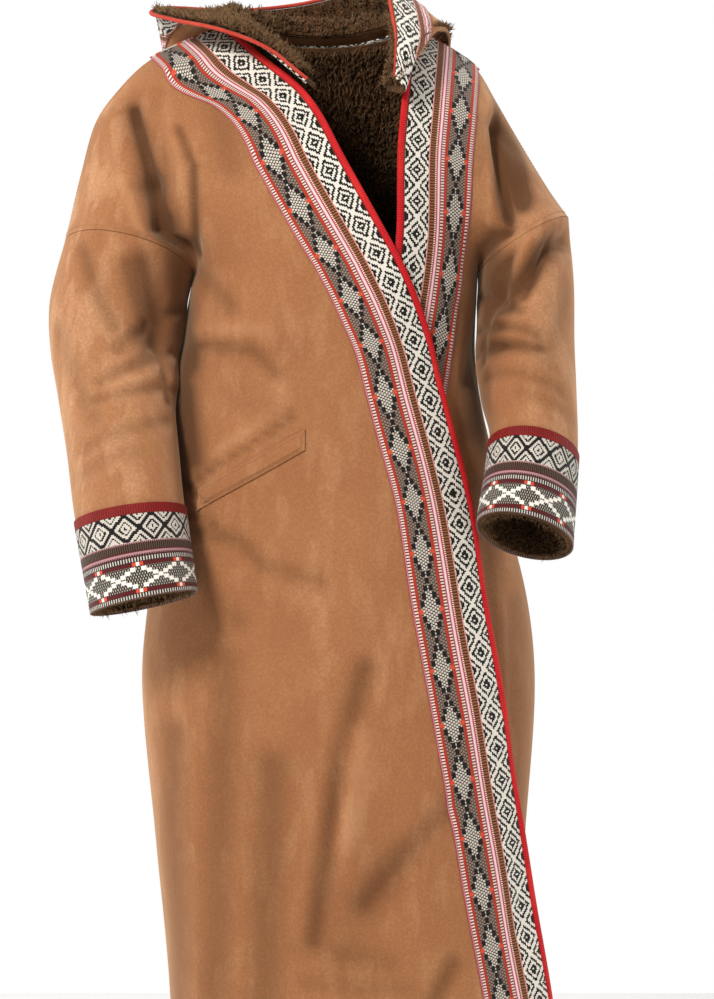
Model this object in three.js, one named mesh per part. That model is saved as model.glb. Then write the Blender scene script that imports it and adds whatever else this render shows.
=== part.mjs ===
// A farwa: a long fur-lined winter coat of suede with woven trim, worn open at the neck
// and lapped wearer's right over left, with its hood down. Millimetres, +Z up, the front
// faces -Y and the wearer's right is -X. The origin is where the shoulders carry it.
import * as THREE from 'three';

// cloth and clearances
const wall = 3; // fur-backed suede
const seamGap = 0.3;
const pipingGap = 1.2; // beside the piping, and under the fur
const hoodPipingGap = 2.9;
const trimThick = 1.8;
const weltThick = 3;
const furDepth = 5.5;
const sideFur = 2; // where the hood's sides are folded flat
const pipingWidth = 7.5;
const trimWidth = 102; // from the piping's outer edge
const hoodTrimWidth = 62;
const cuffLength = 118;
const cuffStripWidth = 13;
const roundness = 0.8; // 1 is an ellipse, less is boxier

// heights of the hem and the underarm
const hemZ = -1385;
const underarmZ = -281;
const overShoulder = 150; // how flatly the cloth passes over the shoulder line
const evenTurn = 0.35; // the share of the armhole seam's turn that is even, the rest is eased
const shoulderFade = 5; // how soon folds run out before the shoulder seams
const sideFade = 14; // and before the side seams and armholes
const armholeFade = 12; // on the sleeves
const normalStep = 0.004; // in u and v
const slopeStep = 2; // millimetres of height

// level sections of the skirt and waist: side seams, depths, and how far the lapped front
// would reach and how much it stands forward of the other
const bodySections = [
  { z: -1385, right: -205, left: 228, front: 166, back: 160, lap: 330, lift: 22 },
  { z: -1192, right: -212, left: 232, front: 168, back: 162, lap: 304, lift: 18 },
  { z: -1006, right: -229, left: 241, front: 172, back: 165, lap: 286, lift: 14 },
  { z: -806, right: -247, left: 254, front: 173, back: 166, lap: 278, lift: 11 },
  { z: -694, right: -239, left: 244, front: 168, back: 161, lap: 262, lift: 10 },
  { z: -550, right: -219, left: 208, front: 158, back: 150, lap: 226, lift: 9 },
  { z: -400, right: -203, left: 179, front: 147, back: 139, lap: 194, lift: 9 },
  { z: -281, right: -181.5, left: 181, front: 140, back: 132, lap: 190, lift: 9 },
];

// front edges, from the hem to the side of the neck
const rightEdge = [
  { z: -1385, x: 297 }, { z: -1192, x: 270 }, { z: -1069, x: 250 }, { z: -944, x: 231 },
  { z: -819, x: 212 }, { z: -719, x: 194 }, { z: -569, x: 169 }, { z: -444, x: 138 },
  { z: -362, x: 118 }, { z: -281, x: 86 }, { z: -144, x: 12 }, { z: -62, x: -35 },
  { z: -1, x: -102 }, { z: 36, x: -140 },
];
const leftEdge = [
  { z: -1385, x: -60 }, { z: -1000, x: -22 }, { z: -700, x: 8 }, { z: -444, x: 42 },
  { z: -356, x: 60 }, { z: -281, x: 72 }, { z: -231, x: 77 }, { z: -131, x: 79 },
  { z: -56, x: 85 }, { z: 32, x: 92 },
];
// how far forward an edge stands above the underarm, as a share of its depth there
const chestProfile = [
  { z: -281, share: 1 }, { z: -144, share: 0.95 }, { z: -62, share: 0.8 },
  { z: -24, share: 0.63 }, { z: 0, share: 0.45 }, { z: 20, share: 0.22 }, { z: 36, share: 0 },
];

// shoulder lines from the neck to the dropped armhole seam, and the back of the neck
const rightShoulder = [
  { x: -140, y: 0, z: 36 }, { x: -196, y: 0, z: 14 }, { x: -240, y: 0, z: -8 },
  { x: -274, y: 0, z: -40 }, { x: -306, y: 0, z: -84 }, { x: -325, y: 0, z: -150 },
  { x: -346.5, y: 0, z: -244 },
];
const leftShoulder = [
  { x: 92, y: 0, z: 32 }, { x: 119, y: 0, z: 21 }, { x: 156, y: 0, z: 0 },
  { x: 181, y: 0, z: -20 }, { x: 206, y: 0, z: -62 }, { x: 236, y: 0, z: -114 },
  { x: 266, y: 0, z: -164 }, { x: 297, y: 0, z: -211 },
];
const backNeck = [
  { x: -140, y: 0, z: 36 }, { x: -122, y: 44, z: 31 }, { x: -76, y: 72, z: 23 },
  { x: -24, y: 79, z: 19 }, { x: 30, y: 69, z: 21 }, { x: 74, y: 40, z: 27 },
  { x: 92, y: 0, z: 32 },
];

// sleeve sections: centre, half sizes, and how far the outer and front sides are raised;
// the first of each is the dropped armhole seam, the last is the cuff's mouth
const rightSleeve = [
  { x: -264, y: 0, z: -262.5, wide: 82.5, deep: 95, outerRise: 18.5, frontRise: 28 },
  { x: -281, y: -14, z: -330, wide: 83, deep: 92, outerRise: 12, frontRise: 24 },
  { x: -285, y: -33, z: -381, wide: 77, deep: 85, outerRise: 4, frontRise: 20 },
  { x: -277, y: -60, z: -440, wide: 73, deep: 79, outerRise: 0, frontRise: 18 },
  { x: -266, y: -98, z: -506, wide: 70, deep: 72, outerRise: -4, frontRise: 16 },
  { x: -256, y: -136, z: -575, wide: 68, deep: 67, outerRise: -9, frontRise: 14 },
  { x: -234, y: -188, z: -695, wide: 64, deep: 58, outerRise: -14, frontRise: 8 },
];
const leftSleeve = [
  { x: 239, y: 0, z: -246, wide: 58, deep: 104, outerRise: 35, frontRise: 12 },
  { x: 242, y: -34, z: -318, wide: 60, deep: 97, outerRise: 20, frontRise: 20 },
  { x: 240, y: -64, z: -380, wide: 61, deep: 84, outerRise: 8, frontRise: 28 },
  { x: 242, y: -92, z: -440, wide: 60, deep: 74, outerRise: 0, frontRise: 32 },
  { x: 247, y: -118, z: -497, wide: 55, deep: 62, outerRise: -8, frontRise: 30 },
  { x: 233, y: -178, z: -613, wide: 58, deep: 54, outerRise: -14, frontRise: 26 },
];

// largest folds, seen from the front: a trough from one end to the other
const frontFolds = [
  { x1: -262, z1: -60, x2: -236, z2: -170, width: 22, depth: 11 },
  { x1: -236, z1: -170, x2: -205, z2: -262, width: 22, depth: 15 },
  { x1: -231, z1: -60, x2: -190, z2: -255, width: 19, depth: 7 },
  { x1: 206, z1: -96, x2: 213, z2: -232, width: 20, depth: 11 },
  { x1: -170, z1: -380, x2: -50, z2: -386, width: 24, depth: 4 },
  { x1: -125, z1: -444, x2: -72, z2: -474, width: 20, depth: 4 },
  { x1: 60, z1: -1020, x2: 20, z2: -1130, width: 34, depth: 5 },
];
const backFolds = [
  { x1: -262, z1: -70, x2: -205, z2: -262, width: 24, depth: 11 },
  { x1: 214, z1: -96, x2: 206, z2: -240, width: 22, depth: 9 },
  { x1: -110, z1: -420, x2: 60, z2: -436, width: 30, depth: 4 },
  { x1: 70, z1: -700, x2: 96, z2: -1250, width: 40, depth: 6 },
  { x1: -90, z1: -760, x2: -120, z2: -1300, width: 44, depth: 6 },
];
const sleeveFolds = [
  { x1: -256, z1: -276, x2: -226, z2: -372, width: 22, depth: 9 },
  { x1: 290, z1: -238, x2: 206, z2: -316, width: 22, depth: 12 },
  { x1: 206, z1: -372, x2: 252, z2: -378, width: 18, depth: 6 },
];

// hood, folded down: from the seam inside the neckline, over a keel, to the free rim;
// stations run from the wearer's left front round the back to the right front
const hoodStations = [
  { nx: 66, ny: -90, nz: -64, kx: 78, ky: -118, kz: -64, rx: 72, ry: -126, rz: -44 },
  { nx: 72, ny: -70, nz: -30, kx: 92, ky: -112, kz: -24, rx: 74, ry: -114, rz: 4 },
  { nx: 76, ny: -42, nz: 6, kx: 108, ky: -80, kz: 6, rx: 70, ry: -92, rz: 34 },
  { nx: 77, ny: -8, nz: 36, kx: 120, ky: -34, kz: 28, rx: 64, ry: -60, rz: 72 },
  { nx: 73, ny: 22, nz: 40, kx: 132, ky: 40, kz: 18, rx: 58, ry: -8, rz: 98 },
  { nx: 50, ny: 52, nz: 36, kx: 104, ky: 142, kz: -70, rx: 50, ry: 66, rz: 104 },
  { nx: 6, ny: 66, nz: 30, kx: 44, ky: 184, kz: -190, rx: 6, ry: 128, rz: 98 },
  { nx: -44, ny: 66, nz: 30, kx: -44, ky: 196, kz: -225, rx: -56, ry: 158, rz: 88 },
  { nx: -92, ny: 50, nz: 36, kx: -132, ky: 176, kz: -150, rx: -134, ry: 150, rz: 80 },
  { nx: -120, ny: 20, nz: 46, kx: -206, ky: 92, kz: 6, rx: -220, ry: 82, rz: 74 },
  { nx: -124, ny: -10, nz: 44, kx: -162, ky: 2, kz: 46, rx: -240, ry: 20, rz: 56 },
  { nx: -112, ny: -32, nz: 30, kx: -142, ky: -38, kz: 35, rx: -206, ry: -48, rz: 38 },
  { nx: -86, ny: -48, nz: 10, kx: -106, ky: -68, kz: 18, rx: -146, ry: -100, rz: 19 },
  { nx: -56, ny: -74, nz: -20, kx: -66, ky: -98, kz: -14, rx: -82, ry: -130, rz: -8 },
  { nx: -24, ny: -96, nz: -58, kx: -29, ky: -116, kz: -53, rx: -30, ry: -140, rz: -48 },
];
const neckLip = 12; // the hood rises this far over the neckline before it falls
const keelSpread = 28; // how far the bag's bottom spreads where it hangs down the back
const sideSpread = 15; // and where it lies on the shoulders
const deepBag = 120;

// the pocket's welt, a strip on the wearer's right front
const weltTop = { x1: -171, z1: -556, x2: -37, z2: -481 };
const weltHeight = 26;
const weltLift = 2;

const suede = { color: 0xb07e56, roughness: 0.9, metalness: 0 };
const fur = { color: 0x6b4a2e, roughness: 1, metalness: 0 };
const woven = { color: 0x9a948c, roughness: 0.85, metalness: 0 };
const redTape = { color: 0xc8141b, roughness: 0.7, metalness: 0 };
const darkRedTape = { color: 0x6e1517, roughness: 0.75, metalness: 0 };

const group = new THREE.Group();

// a smooth row between the rows of a table, by the value of one of its columns
function rowAt(table, key, value) {
  let i = 0;
  while (i < table.length - 2 && value > table[i + 1][key]) i += 1;
  const a = table[i];
  const b = table[i + 1];
  const before = table[Math.max(i - 1, 0)];
  const after = table[Math.min(i + 2, table.length - 1)];
  const span = b[key] - a[key];
  const t = (value - a[key]) / span;
  const row = {};
  for (const name of Object.keys(a)) {
    const slopeA = ((b[name] - before[name]) / (b[key] - before[key])) * span;
    const slopeB = ((after[name] - a[name]) / (after[key] - a[key])) * span;
    row[name] = hermite(a[name], slopeA, b[name], slopeB, t);
  }
  return row;
}

function hermite(p0, m0, p1, m1, t) {
  const t2 = t * t;
  const t3 = t2 * t;
  return p0 * (2 * t3 - 3 * t2 + 1) + m0 * (t3 - 2 * t2 + t) + p1 * (3 * t2 - 2 * t3) + m1 * (t3 - t2);
}

// the same table with a column s, its share of the way along
function measured(table) {
  let run = 0;
  const runs = table.map((row, i) => {
    if (i > 0) run += pointOf(row).distanceTo(pointOf(table[i - 1]));
    return run;
  });
  return table.map((row, i) => ({ ...row, s: runs[i] / run }));
}

function pointOf(row) {
  return new THREE.Vector3(row.x, row.y, row.z);
}

function tableLength(table) {
  return table.slice(1).reduce((sum, row, i) => sum + pointOf(row).distanceTo(pointOf(table[i])), 0);
}

function smooth(t) {
  const c = Math.min(Math.max(t, 0), 1);
  return c * c * (3 - 2 * c);
}

// a point on a level section: share 0 is the right side seam, 1 the left or the lap's reach
function sectionPoint(z, share, right, left, depth) {
  const angle = Math.PI * share;
  const x = (right + left) / 2 - ((left - right) / 2) * Math.cos(angle);
  return new THREE.Vector3(x, -depth * Math.max(Math.sin(angle), 0) ** roundness, z);
}

function shareOf(x, right, left) {
  return Math.acos(1 - (2 * (x - right)) / (left - right)) / Math.PI;
}

// the troughs of a table of folds at a place seen from the front
function foldDepth(folds, x, z) {
  let sum = 0;
  for (const fold of folds) {
    const dx = fold.x2 - fold.x1;
    const dz = fold.z2 - fold.z1;
    const along = ((x - fold.x1) * dx + (z - fold.z1) * dz) / (dx * dx + dz * dz);
    const t = Math.min(Math.max(along, 0), 1);
    const off = Math.hypot(x - fold.x1 - t * dx, z - fold.z1 - t * dz);
    sum += fold.depth * Math.exp(-((off / fold.width) ** 2));
  }
  return sum;
}

// the dropped armhole seam: turn 0 is its outer side, pi/2 the front, pi the underarm
function armRing(sections, turn) {
  return sleeveSection(sections[0], turn);
}

function sleeveSection(row, turn) {
  const out = Math.sign(row.x);
  return new THREE.Vector3(
    row.x + out * row.wide * Math.cos(turn),
    row.y - row.deep * Math.sin(turn),
    row.z + row.outerRise * Math.cos(turn) + row.frontRise * Math.sin(turn),
  );
}

// easing of the armhole seam's turn, slow at the underarm
function ringShare(t) {
  return evenTurn * t + (1 - evenTurn) * smooth(t);
}

// a front: u 0 at its edge, 1 at the side seam and armhole; v 0 hem, 1 underarm, 2 shoulder
function frontPanel(side, u, v) {
  const z = hemZ + (underarmZ - hemZ) * Math.min(v, 1);
  const low = frontSection(side, u, z);
  if (v <= 1) return low;
  const t = v - 1;
  const shoulder = side.shoulder;
  const rise = shoulder[0].z - underarmZ;
  const steep = rise / slopeStep;
  const slope = low.clone().sub(frontSection(side, u, z - slopeStep)).multiplyScalar(steep);
  const top = pointOf(rowAt(shoulder, 's', u));
  const arrive = new THREE.Vector3(0, overShoulder, 0);
  const body = patchColumn(low, slope, top, arrive, t);
  const edgeLow = frontSection(side, 0, z);
  const edgeSlope = edgeLow.clone().sub(frontSection(side, 0, z - slopeStep)).multiplyScalar(steep);
  const edgeTop = pointOf(shoulder[0]);
  const plainEdge = patchColumn(edgeLow, edgeSlope, edgeTop, arrive, t);
  const edgeZ = underarmZ + rise * t;
  const share = rowAt(chestProfile, 'z', Math.min(edgeZ, chestProfile.at(-1).z)).share;
  const level = t >= 1 ? 0 : share;
  const edge = new THREE.Vector3(rowAt(side.edge, 'z', edgeZ).x, edgeLow.y * level, edgeZ);
  const sideLow = frontSection(side, 1, z);
  const sideSlope = sideLow.clone().sub(frontSection(side, 1, z - slopeStep)).multiplyScalar(steep);
  const sideTop = pointOf(shoulder.at(-1));
  const plainSide = patchColumn(sideLow, sideSlope, sideTop, arrive, t);
  const ring = armRing(side.sleeve, Math.PI * (1 - ringShare(t)));
  body.addScaledVector(edge.sub(plainEdge), (1 - u) ** 2);
  body.addScaledVector(ring.sub(plainSide), u ** 3);
  return body;
}

function frontSection(side, u, z) {
  const row = rowAt(bodySections, 'z', z);
  const reach = side.lapped ? row.lap : row.left;
  const depth = row.front + (side.lapped ? row.lift : 0);
  const edgeShare = shareOf(rowAt(side.edge, 'z', z).x, row.right, reach);
  const seamShare = side.lapped ? 0 : 1;
  const share = edgeShare + (seamShare - edgeShare) * u;
  return sectionPoint(z, share, row.right, reach, depth);
}

function patchColumn(low, slope, top, arrive, t) {
  return new THREE.Vector3(
    hermite(low.x, slope.x, top.x, arrive.x, t),
    hermite(low.y, slope.y, top.y, arrive.y, t),
    hermite(low.z, slope.z, top.z, arrive.z, t),
  );
}

const sides = {
  right: { lapped: true, edge: rightEdge, shoulder: measured(rightShoulder), sleeve: rightSleeve },
  left: { lapped: false, edge: leftEdge, shoulder: measured(leftShoulder), sleeve: leftSleeve },
};

// the back: u 0 at the right side seam and armhole, 1 at the left; v as on the fronts
const neckLift = 90; // how steeply the back rises into the neckline
const neckBlend = 0.12; // the share of the top over which it turns to do so
const topLength = tableLength(rightShoulder) + tableLength(backNeck) + tableLength(leftShoulder);
const neckStart = tableLength(rightShoulder) / topLength;
const neckEnd = 1 - tableLength(leftShoulder) / topLength;
const neckLine = measured(backNeck);

function backTop(u) {
  if (u < neckStart) return pointOf(rowAt(sides.right.shoulder, 's', 1 - u / neckStart));
  if (u > neckEnd) return pointOf(rowAt(sides.left.shoulder, 's', (u - neckEnd) / (1 - neckEnd)));
  return pointOf(rowAt(neckLine, 's', (u - neckStart) / (neckEnd - neckStart)));
}

function backSection(u, z) {
  const row = rowAt(bodySections, 'z', z);
  const point = sectionPoint(z, u, row.right, row.left, row.back);
  point.y = -point.y;
  return point;
}

function backPanel(u, v) {
  const z = hemZ + (underarmZ - hemZ) * Math.min(v, 1);
  const low = backSection(u, z);
  if (v <= 1) return low;
  const t = v - 1;
  const body = backColumn(low, u, z, t);
  const turnShare = ringShare(t);
  const rightRing = armRing(rightSleeve, Math.PI * (1 + turnShare));
  const leftRing = armRing(leftSleeve, Math.PI * (1 + turnShare));
  const plainRight = backColumn(backSection(0, z), 0, z, t);
  const plainLeft = backColumn(backSection(1, z), 1, z, t);
  body.addScaledVector(rightRing.sub(plainRight), (1 - u) ** 4);
  body.addScaledVector(leftRing.sub(plainLeft), u ** 4);
  return body;
}

function backColumn(low, u, z, t) {
  const rise = rightShoulder[0].z - underarmZ;
  const slope = low.clone().sub(backSection(u, z - slopeStep)).multiplyScalar(rise / slopeStep);
  const middle = smooth((u - neckStart) / neckBlend) * smooth((neckEnd - u) / neckBlend);
  const arrive = new THREE.Vector3(0, (neckLift * middle) - overShoulder, neckLift * middle);
  return patchColumn(low, slope, backTop(u), arrive, t);
}

// the finished surface of each piece: its form with the folds pressed in
function folded(surface, folds, seamU) {
  return (u, v) => {
    const point = surface(u, v);
    const depth = foldDepth(folds, point.x, point.z) * seamFade(u, v, seamU);
    if (depth > 0.02) point.addScaledVector(normalAt(surface, u, v), -depth);
    return point;
  };
}

// folds run out before the shoulder and side seams, so that the pieces still meet there
function seamFade(u, v, seamU) {
  const fromSide = seamU.reduce((least, seam) => Math.min(least, Math.abs(u - seam)), 1);
  return smooth((2 - v) * shoulderFade) * smooth(fromSide * sideFade);
}

// the outward normal of a surface, taken over a short step that stays inside it
function normalAt(surface, u, v, uMax = 1, vMax = 2) {
  const u0 = Math.max(u - normalStep, 0);
  const u1 = Math.min(u + normalStep, uMax);
  const v0 = Math.max(v - normalStep, 0);
  const v1 = Math.min(v + normalStep, vMax);
  const across = surface(u1, v).sub(surface(u0, v));
  const up = surface(u, v1).sub(surface(u, v0));
  const normal = across.cross(up).normalize();
  return surface.flip ? normal.negate() : normal;
}

const rightForm = (u, v) => frontPanel(sides.right, u, v);
rightForm.flip = true;
const leftForm = (u, v) => frontPanel(sides.left, u, v);
const backForm = (u, v) => backPanel(u, v);
backForm.flip = true;
const rightCloth = folded(rightForm, frontFolds, [1]);
rightCloth.flip = true;
const leftCloth = folded(leftForm, frontFolds, [1]);
const backCloth = folded(backForm, backFolds, [0, 1]);
backCloth.flip = true;

const mouthShare = 1;
function sleeveForm(sections) {
  const table = measured(sections);
  const surface = (u, v) => sleeveSection(rowAt(table, 's', v), 2 * Math.PI * u);
  surface.flip = sections === rightSleeve;
  const cloth = (u, v) => {
    const point = surface(u, v);
    if (Math.sin(2 * Math.PI * u) <= 0) return point;
    const fade = smooth(Math.sin(2 * Math.PI * u) * 2) * smooth(v * armholeFade);
    const depth = foldDepth(sleeveFolds, point.x, point.z) * fade;
    return point.addScaledVector(normalAt(surface, u, v, 2, mouthShare), -depth);
  };
  cloth.flip = surface.flip;
  return cloth;
}

// a closed wall over a grid of a surface: layer [from, to] is measured along the normal,
// at gives the surface's u and v of a column and row, square may turn a normal at an edge
function wallSolid(surface, spec) {
  const { columns, rows, layer, at, closed = false, uMax = 1, vMax = 2 } = spec;
  const square = spec.square ?? ((normal) => normal);
  const points = [];
  const across = closed ? columns : columns + 1;
  for (const level of [layer[1], layer[0]]) {
    for (let row = 0; row <= rows; row += 1) {
      for (let column = 0; column < across; column += 1) {
        const [u, v] = at(column, row);
        const normal = square(normalAt(surface, u, v, uMax, vMax), column, row);
        const reach = typeof level === 'function' ? level(u, v) : level;
        points.push(surface(u, v).addScaledVector(normal, reach));
      }
    }
  }
  return closedGrid(points, across, rows + 1, closed);
}

// joins an outer and an inner grid of points into one closed body
function closedGrid(points, columns, rows, closed) {
  const half = columns * rows;
  const index = [];
  const quad = (a, b, c, d) => index.push(a, b, c, a, c, d);
  const lastColumn = closed ? columns : columns - 1;
  for (let j = 0; j < rows - 1; j += 1) {
    for (let i = 0; i < lastColumn; i += 1) {
      const a = j * columns + i;
      const b = j * columns + ((i + 1) % columns);
      quad(a, b, b + columns, a + columns);
      quad(half + a, half + a + columns, half + b + columns, half + b);
    }
  }
  for (let i = 0; i < lastColumn; i += 1) {
    const next = (i + 1) % columns;
    const end = (rows - 1) * columns;
    quad(next, i, half + i, half + next);
    quad(end + i, end + next, half + end + next, half + end + i);
  }
  for (let j = 0; !closed && j < rows - 1; j += 1) {
    const first = j * columns;
    const last = first + columns - 1;
    quad(first, first + columns, half + first + columns, half + first);
    quad(last + columns, last, half + last, half + last + columns);
  }
  const geometry = new THREE.BufferGeometry();
  const values = points.flatMap((p) => p.toArray());
  geometry.setAttribute('position', new THREE.Float32BufferAttribute(values, 3));
  geometry.setIndex(signedVolume(points, index) < 0 ? index.reverse() : index);
  geometry.computeVertexNormals();
  return geometry;
}

function signedVolume(points, index) {
  let sum = 0;
  for (let i = 0; i < index.length; i += 3) {
    const [a, b, c] = [points[index[i]], points[index[i + 1]], points[index[i + 2]]];
    sum += a.dot(b.clone().cross(c));
  }
  return sum / 6;
}

function add(name, geometry, finish) {
  const mesh = new THREE.Mesh(geometry, new THREE.MeshStandardMaterial(finish));
  mesh.name = name;
  group.add(mesh);
}

// turns a normal until it lies in the plane of a seam, so that two pieces meet squarely
function squareTo(normal, direction) {
  return normal.addScaledVector(direction, -normal.dot(direction)).normalize();
}

const acrossSeam = new THREE.Vector3(0, 1, 0);
const upright = new THREE.Vector3(0, 0, 1);

function ringNormal(sections) {
  const outer = armRing(sections, 0).sub(pointOf(sections[0]));
  const front = armRing(sections, Math.PI / 2).sub(pointOf(sections[0]));
  return outer.cross(front).normalize();
}

// the u at which a row of a front is a given distance in from its edge
function uInFromEdge(surface, v, distance) {
  const step = 0.01;
  const ahead = surface(0, Math.min(v + step, 2));
  const edge = surface(0, v);
  const along = ahead.sub(surface(0, Math.max(v - step, 0))).normalize();
  let low = 0;
  let high = 1;
  for (let k = 0; k < 24; k += 1) {
    const middle = (low + high) / 2;
    const reach = surface(middle, v).sub(edge).cross(along).length();
    if (reach < distance) low = middle;
    else high = middle;
  }
  return (low + high) / 2;
}

// rows of a body panel: the skirt needs few, the chest and shoulders more
const skirtRows = 9;
const chestRows = 11;
const panelRows = skirtRows + chestRows;
const shoulderV = 2 - 0.0015; // half a gap short of the shoulder seam
const sideU = 1 - 0.00005; // and of the side seam
const trimColumns = 4;

function panelV(row) {
  if (row <= skirtRows) return row / skirtRows;
  return Math.min(2 - (1 - (row - skirtRows) / chestRows) ** 1.2, shoulderV);
}

// a front's grid: its first columns are the trim's, the last stops at the side seam
function frontAt(cloth, columns) {
  return (column, row) => {
    const v = panelV(row);
    const start = uInFromEdge(cloth, v, pipingWidth + pipingGap);
    const bound = uInFromEdge(cloth, v, trimWidth);
    if (column <= trimColumns) return [start + ((bound - start) * column) / trimColumns, v];
    return [bound + ((sideU - bound) * (column - trimColumns)) / (columns - trimColumns), v];
  };
}

function buildFront(name, cloth, sections, columns) {
  const ringPlane = ringNormal(sections);
  add(name, wallSolid(cloth, {
    columns,
    rows: panelRows,
    layer: [-wall, 0],
    at: frontAt(cloth, columns),
    square: (normal, column, row) => {
      const side = column === columns;
      if (row === panelRows || (side && row <= skirtRows)) return squareTo(normal, acrossSeam);
      return side ? squareTo(normal, ringPlane) : normal;
    },
  }), suede);
}

function buildBack() {
  const columns = 28;
  const ringPlanes = { 0: ringNormal(rightSleeve), [columns]: ringNormal(leftSleeve) };
  add('back', wallSolid(backCloth, {
    columns,
    rows: panelRows,
    layer: [-wall, 0],
    at: (column, row) => [1 - sideU + ((2 * sideU - 1) * column) / columns, panelV(row)],
    square: (normal, column, row) => {
      const side = column === 0 || column === columns;
      if (row === panelRows || (side && row <= skirtRows)) return squareTo(normal, acrossSeam);
      return side ? squareTo(normal, ringPlanes[column]) : normal;
    },
  }), suede);
}

// piping closes a front's edge; the woven trim lies on the panel's own points inside it
function buildEdgeTrim(name, cloth) {
  const square = (normal, column, row) => (row === panelRows ? squareTo(normal, acrossSeam) : normal);
  add(`piping_${name}`, wallSolid(cloth, {
    columns: 1,
    rows: panelRows,
    layer: [-wall, seamGap + trimThick],
    at: (column, row) => [column * uInFromEdge(cloth, panelV(row), pipingWidth), panelV(row)],
    square,
  }), redTape);
  add(`trim_${name}`, wallSolid(cloth, {
    columns: trimColumns,
    rows: panelRows,
    layer: [seamGap, seamGap + trimThick],
    at: frontAt(cloth, trimColumns + 1),
    square,
  }), woven);
}

const bandDrop = 0.34; // in v
const endLift = 1.8;
const middleLift = 5;
const topClearance = 0.004; // in v, below the neck seam

// the trim carries on round the back of the neck, on the back panel under the hood
function buildNeckTrim() {
  const columns = 22;
  const rows = 3;
  const rightEnd = neckStart * (1 - uInFromEdge(rightCloth, shoulderV, trimWidth));
  const leftEnd = neckEnd + (1 - neckEnd) * uInFromEdge(leftCloth, shoulderV, trimWidth);
  const lift = (u) => {
    const share = (u - rightEnd) / (leftEnd - rightEnd);
    return endLift + (middleLift - endLift) * smooth(3 * Math.sin(Math.PI * share));
  };
  add('trim_neck', wallSolid(backCloth, {
    columns,
    rows,
    layer: [lift, (u) => lift(u) + trimThick],
    at: (column, row) => {
      const i = column / columns;
      const j = row / rows;
      const inner = neckStart + (neckEnd - neckStart) * i;
      const outer = rightEnd + (leftEnd - rightEnd) * i;
      const drop = bandDrop * Math.sin(Math.PI * i) ** 0.7;
      return [inner + (outer - inner) * j, 2 - topClearance - drop * j];
    },
    square: (normal, column) => (column % columns === 0 ? squareTo(normal, acrossSeam) : normal),
  }), woven);
}

// a sleeve with its cuff's dark strip, woven band and fur inside the mouth
const armRows = 9;
const bandRows = 4;
const liningRows = 3;
const sleeveColumns = 24;
const mouthInset = 1.5; // cloth and fur stop this far inside the band's end

function buildSleeve(name, sections) {
  const cloth = sleeveForm(sections);
  const length = tableLength(sections);
  const start = (2 * seamGap) / length;
  const cuffStart = mouthShare - cuffLength / length;
  const stripEnd = cuffStart + cuffStripWidth / length;
  const mouthRow = armRows + 1 + bandRows;
  const rowV = (row) => {
    if (row <= armRows) return start + ((cuffStart - start) * row) / armRows;
    return stripEnd + ((mouthShare - stripEnd) * (row - armRows - 1)) / bandRows;
  };
  const ringPlane = ringNormal(sections);
  const endPlane = mouthNormal(sections);
  const tube = (node, finish, layer, firstRow, lastRow, trimmed) => {
    add(node, wallSolid(cloth, {
      columns: sleeveColumns,
      rows: lastRow - firstRow,
      layer,
      closed: true,
      uMax: 2,
      vMax: mouthShare,
      at: (column, row) => {
        const v = rowV(firstRow + row);
        const clear = row === 0 ? v + trimmed.start : v;
        return [column / sleeveColumns, Math.min(clear, mouthShare - trimmed.end)];
      },
      square: (normal, column, row) => {
        if (firstRow + row === 0) return squareTo(normal, ringPlane);
        return firstRow + row === mouthRow ? squareTo(normal, endPlane) : normal;
      },
    }), finish);
  };
  const over = [seamGap, seamGap + trimThick];
  const under = [-wall - seamGap - furDepth, -wall - seamGap];
  const inset = mouthInset / length;
  tube(`sleeve_${name}`, suede, [-wall, 0], 0, mouthRow, { start: 0, end: inset });
  tube(`cuff_strip_${name}`, darkRedTape, over, armRows, armRows + 1, { start: 0, end: 0 });
  tube(`cuff_${name}`, woven, over, armRows + 1, mouthRow, { start: seamGap / length, end: 0 });
  tube(`cuff_lining_${name}`, fur, under, mouthRow - liningRows, mouthRow, { start: 0, end: inset });
}

function mouthNormal(sections) {
  const last = sections.at(-1);
  const centre = pointOf(last);
  const outer = sleeveSection(last, 0).sub(centre);
  return outer.cross(sleeveSection(last, Math.PI / 2).sub(centre)).normalize();
}

const numberedStations = hoodStations.map((station, i) => ({ ...station, i }));
const reachOfLip = 14;
const wideKeel = 90; // from the neck, where the bag is fully open

// the hood: u along the stations, v from the neck seam over the keel to the rim
function hoodSurface(u, v) {
  const row = rowAt(numberedStations, 'i', u * (hoodStations.length - 1));
  const neck = new THREE.Vector3(row.nx, row.ny, row.nz);
  const keel = new THREE.Vector3(row.kx, row.ky, row.kz);
  const rim = new THREE.Vector3(row.rx, row.ry, row.rz);
  const open = Math.min(1, keel.distanceTo(neck) / wideKeel);
  const roomy = smooth((open - 0.3) * 3); // 0 where the keel lies close to the neck
  const outward = keel.clone().sub(neck).setZ(0).normalize();
  const lip = neck.clone().addScaledVector(upright, neckLip * open);
  lip.addScaledVector(outward, reachOfLip * open);
  const hang = smooth((neck.z - keel.z) / deepBag);
  const spread = sideSpread + (keelSpread - sideSpread) * hang;
  const inner = lip.clone().lerp(keel, 0.55).addScaledVector(outward, roomy * spread * 0.33);
  const lowInner = keel.clone().addScaledVector(outward, -roomy * spread * 0.5);
  const lowOuter = keel.clone().addScaledVector(outward, spread);
  const outer = lowOuter.clone().lerp(rim, 0.5).addScaledVector(outward, spread / 2);
  const path = [neck, lip, inner, lowInner, lowOuter, outer, rim];
  const table = path.map((p, k) => ({ x: p.x, y: p.y, z: p.z, k }));
  return pointOf(rowAt(table, 'k', v * (table.length - 1)));
}

const outerLeg = 0.7; // the share of a station's path where its outer side begins

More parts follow.
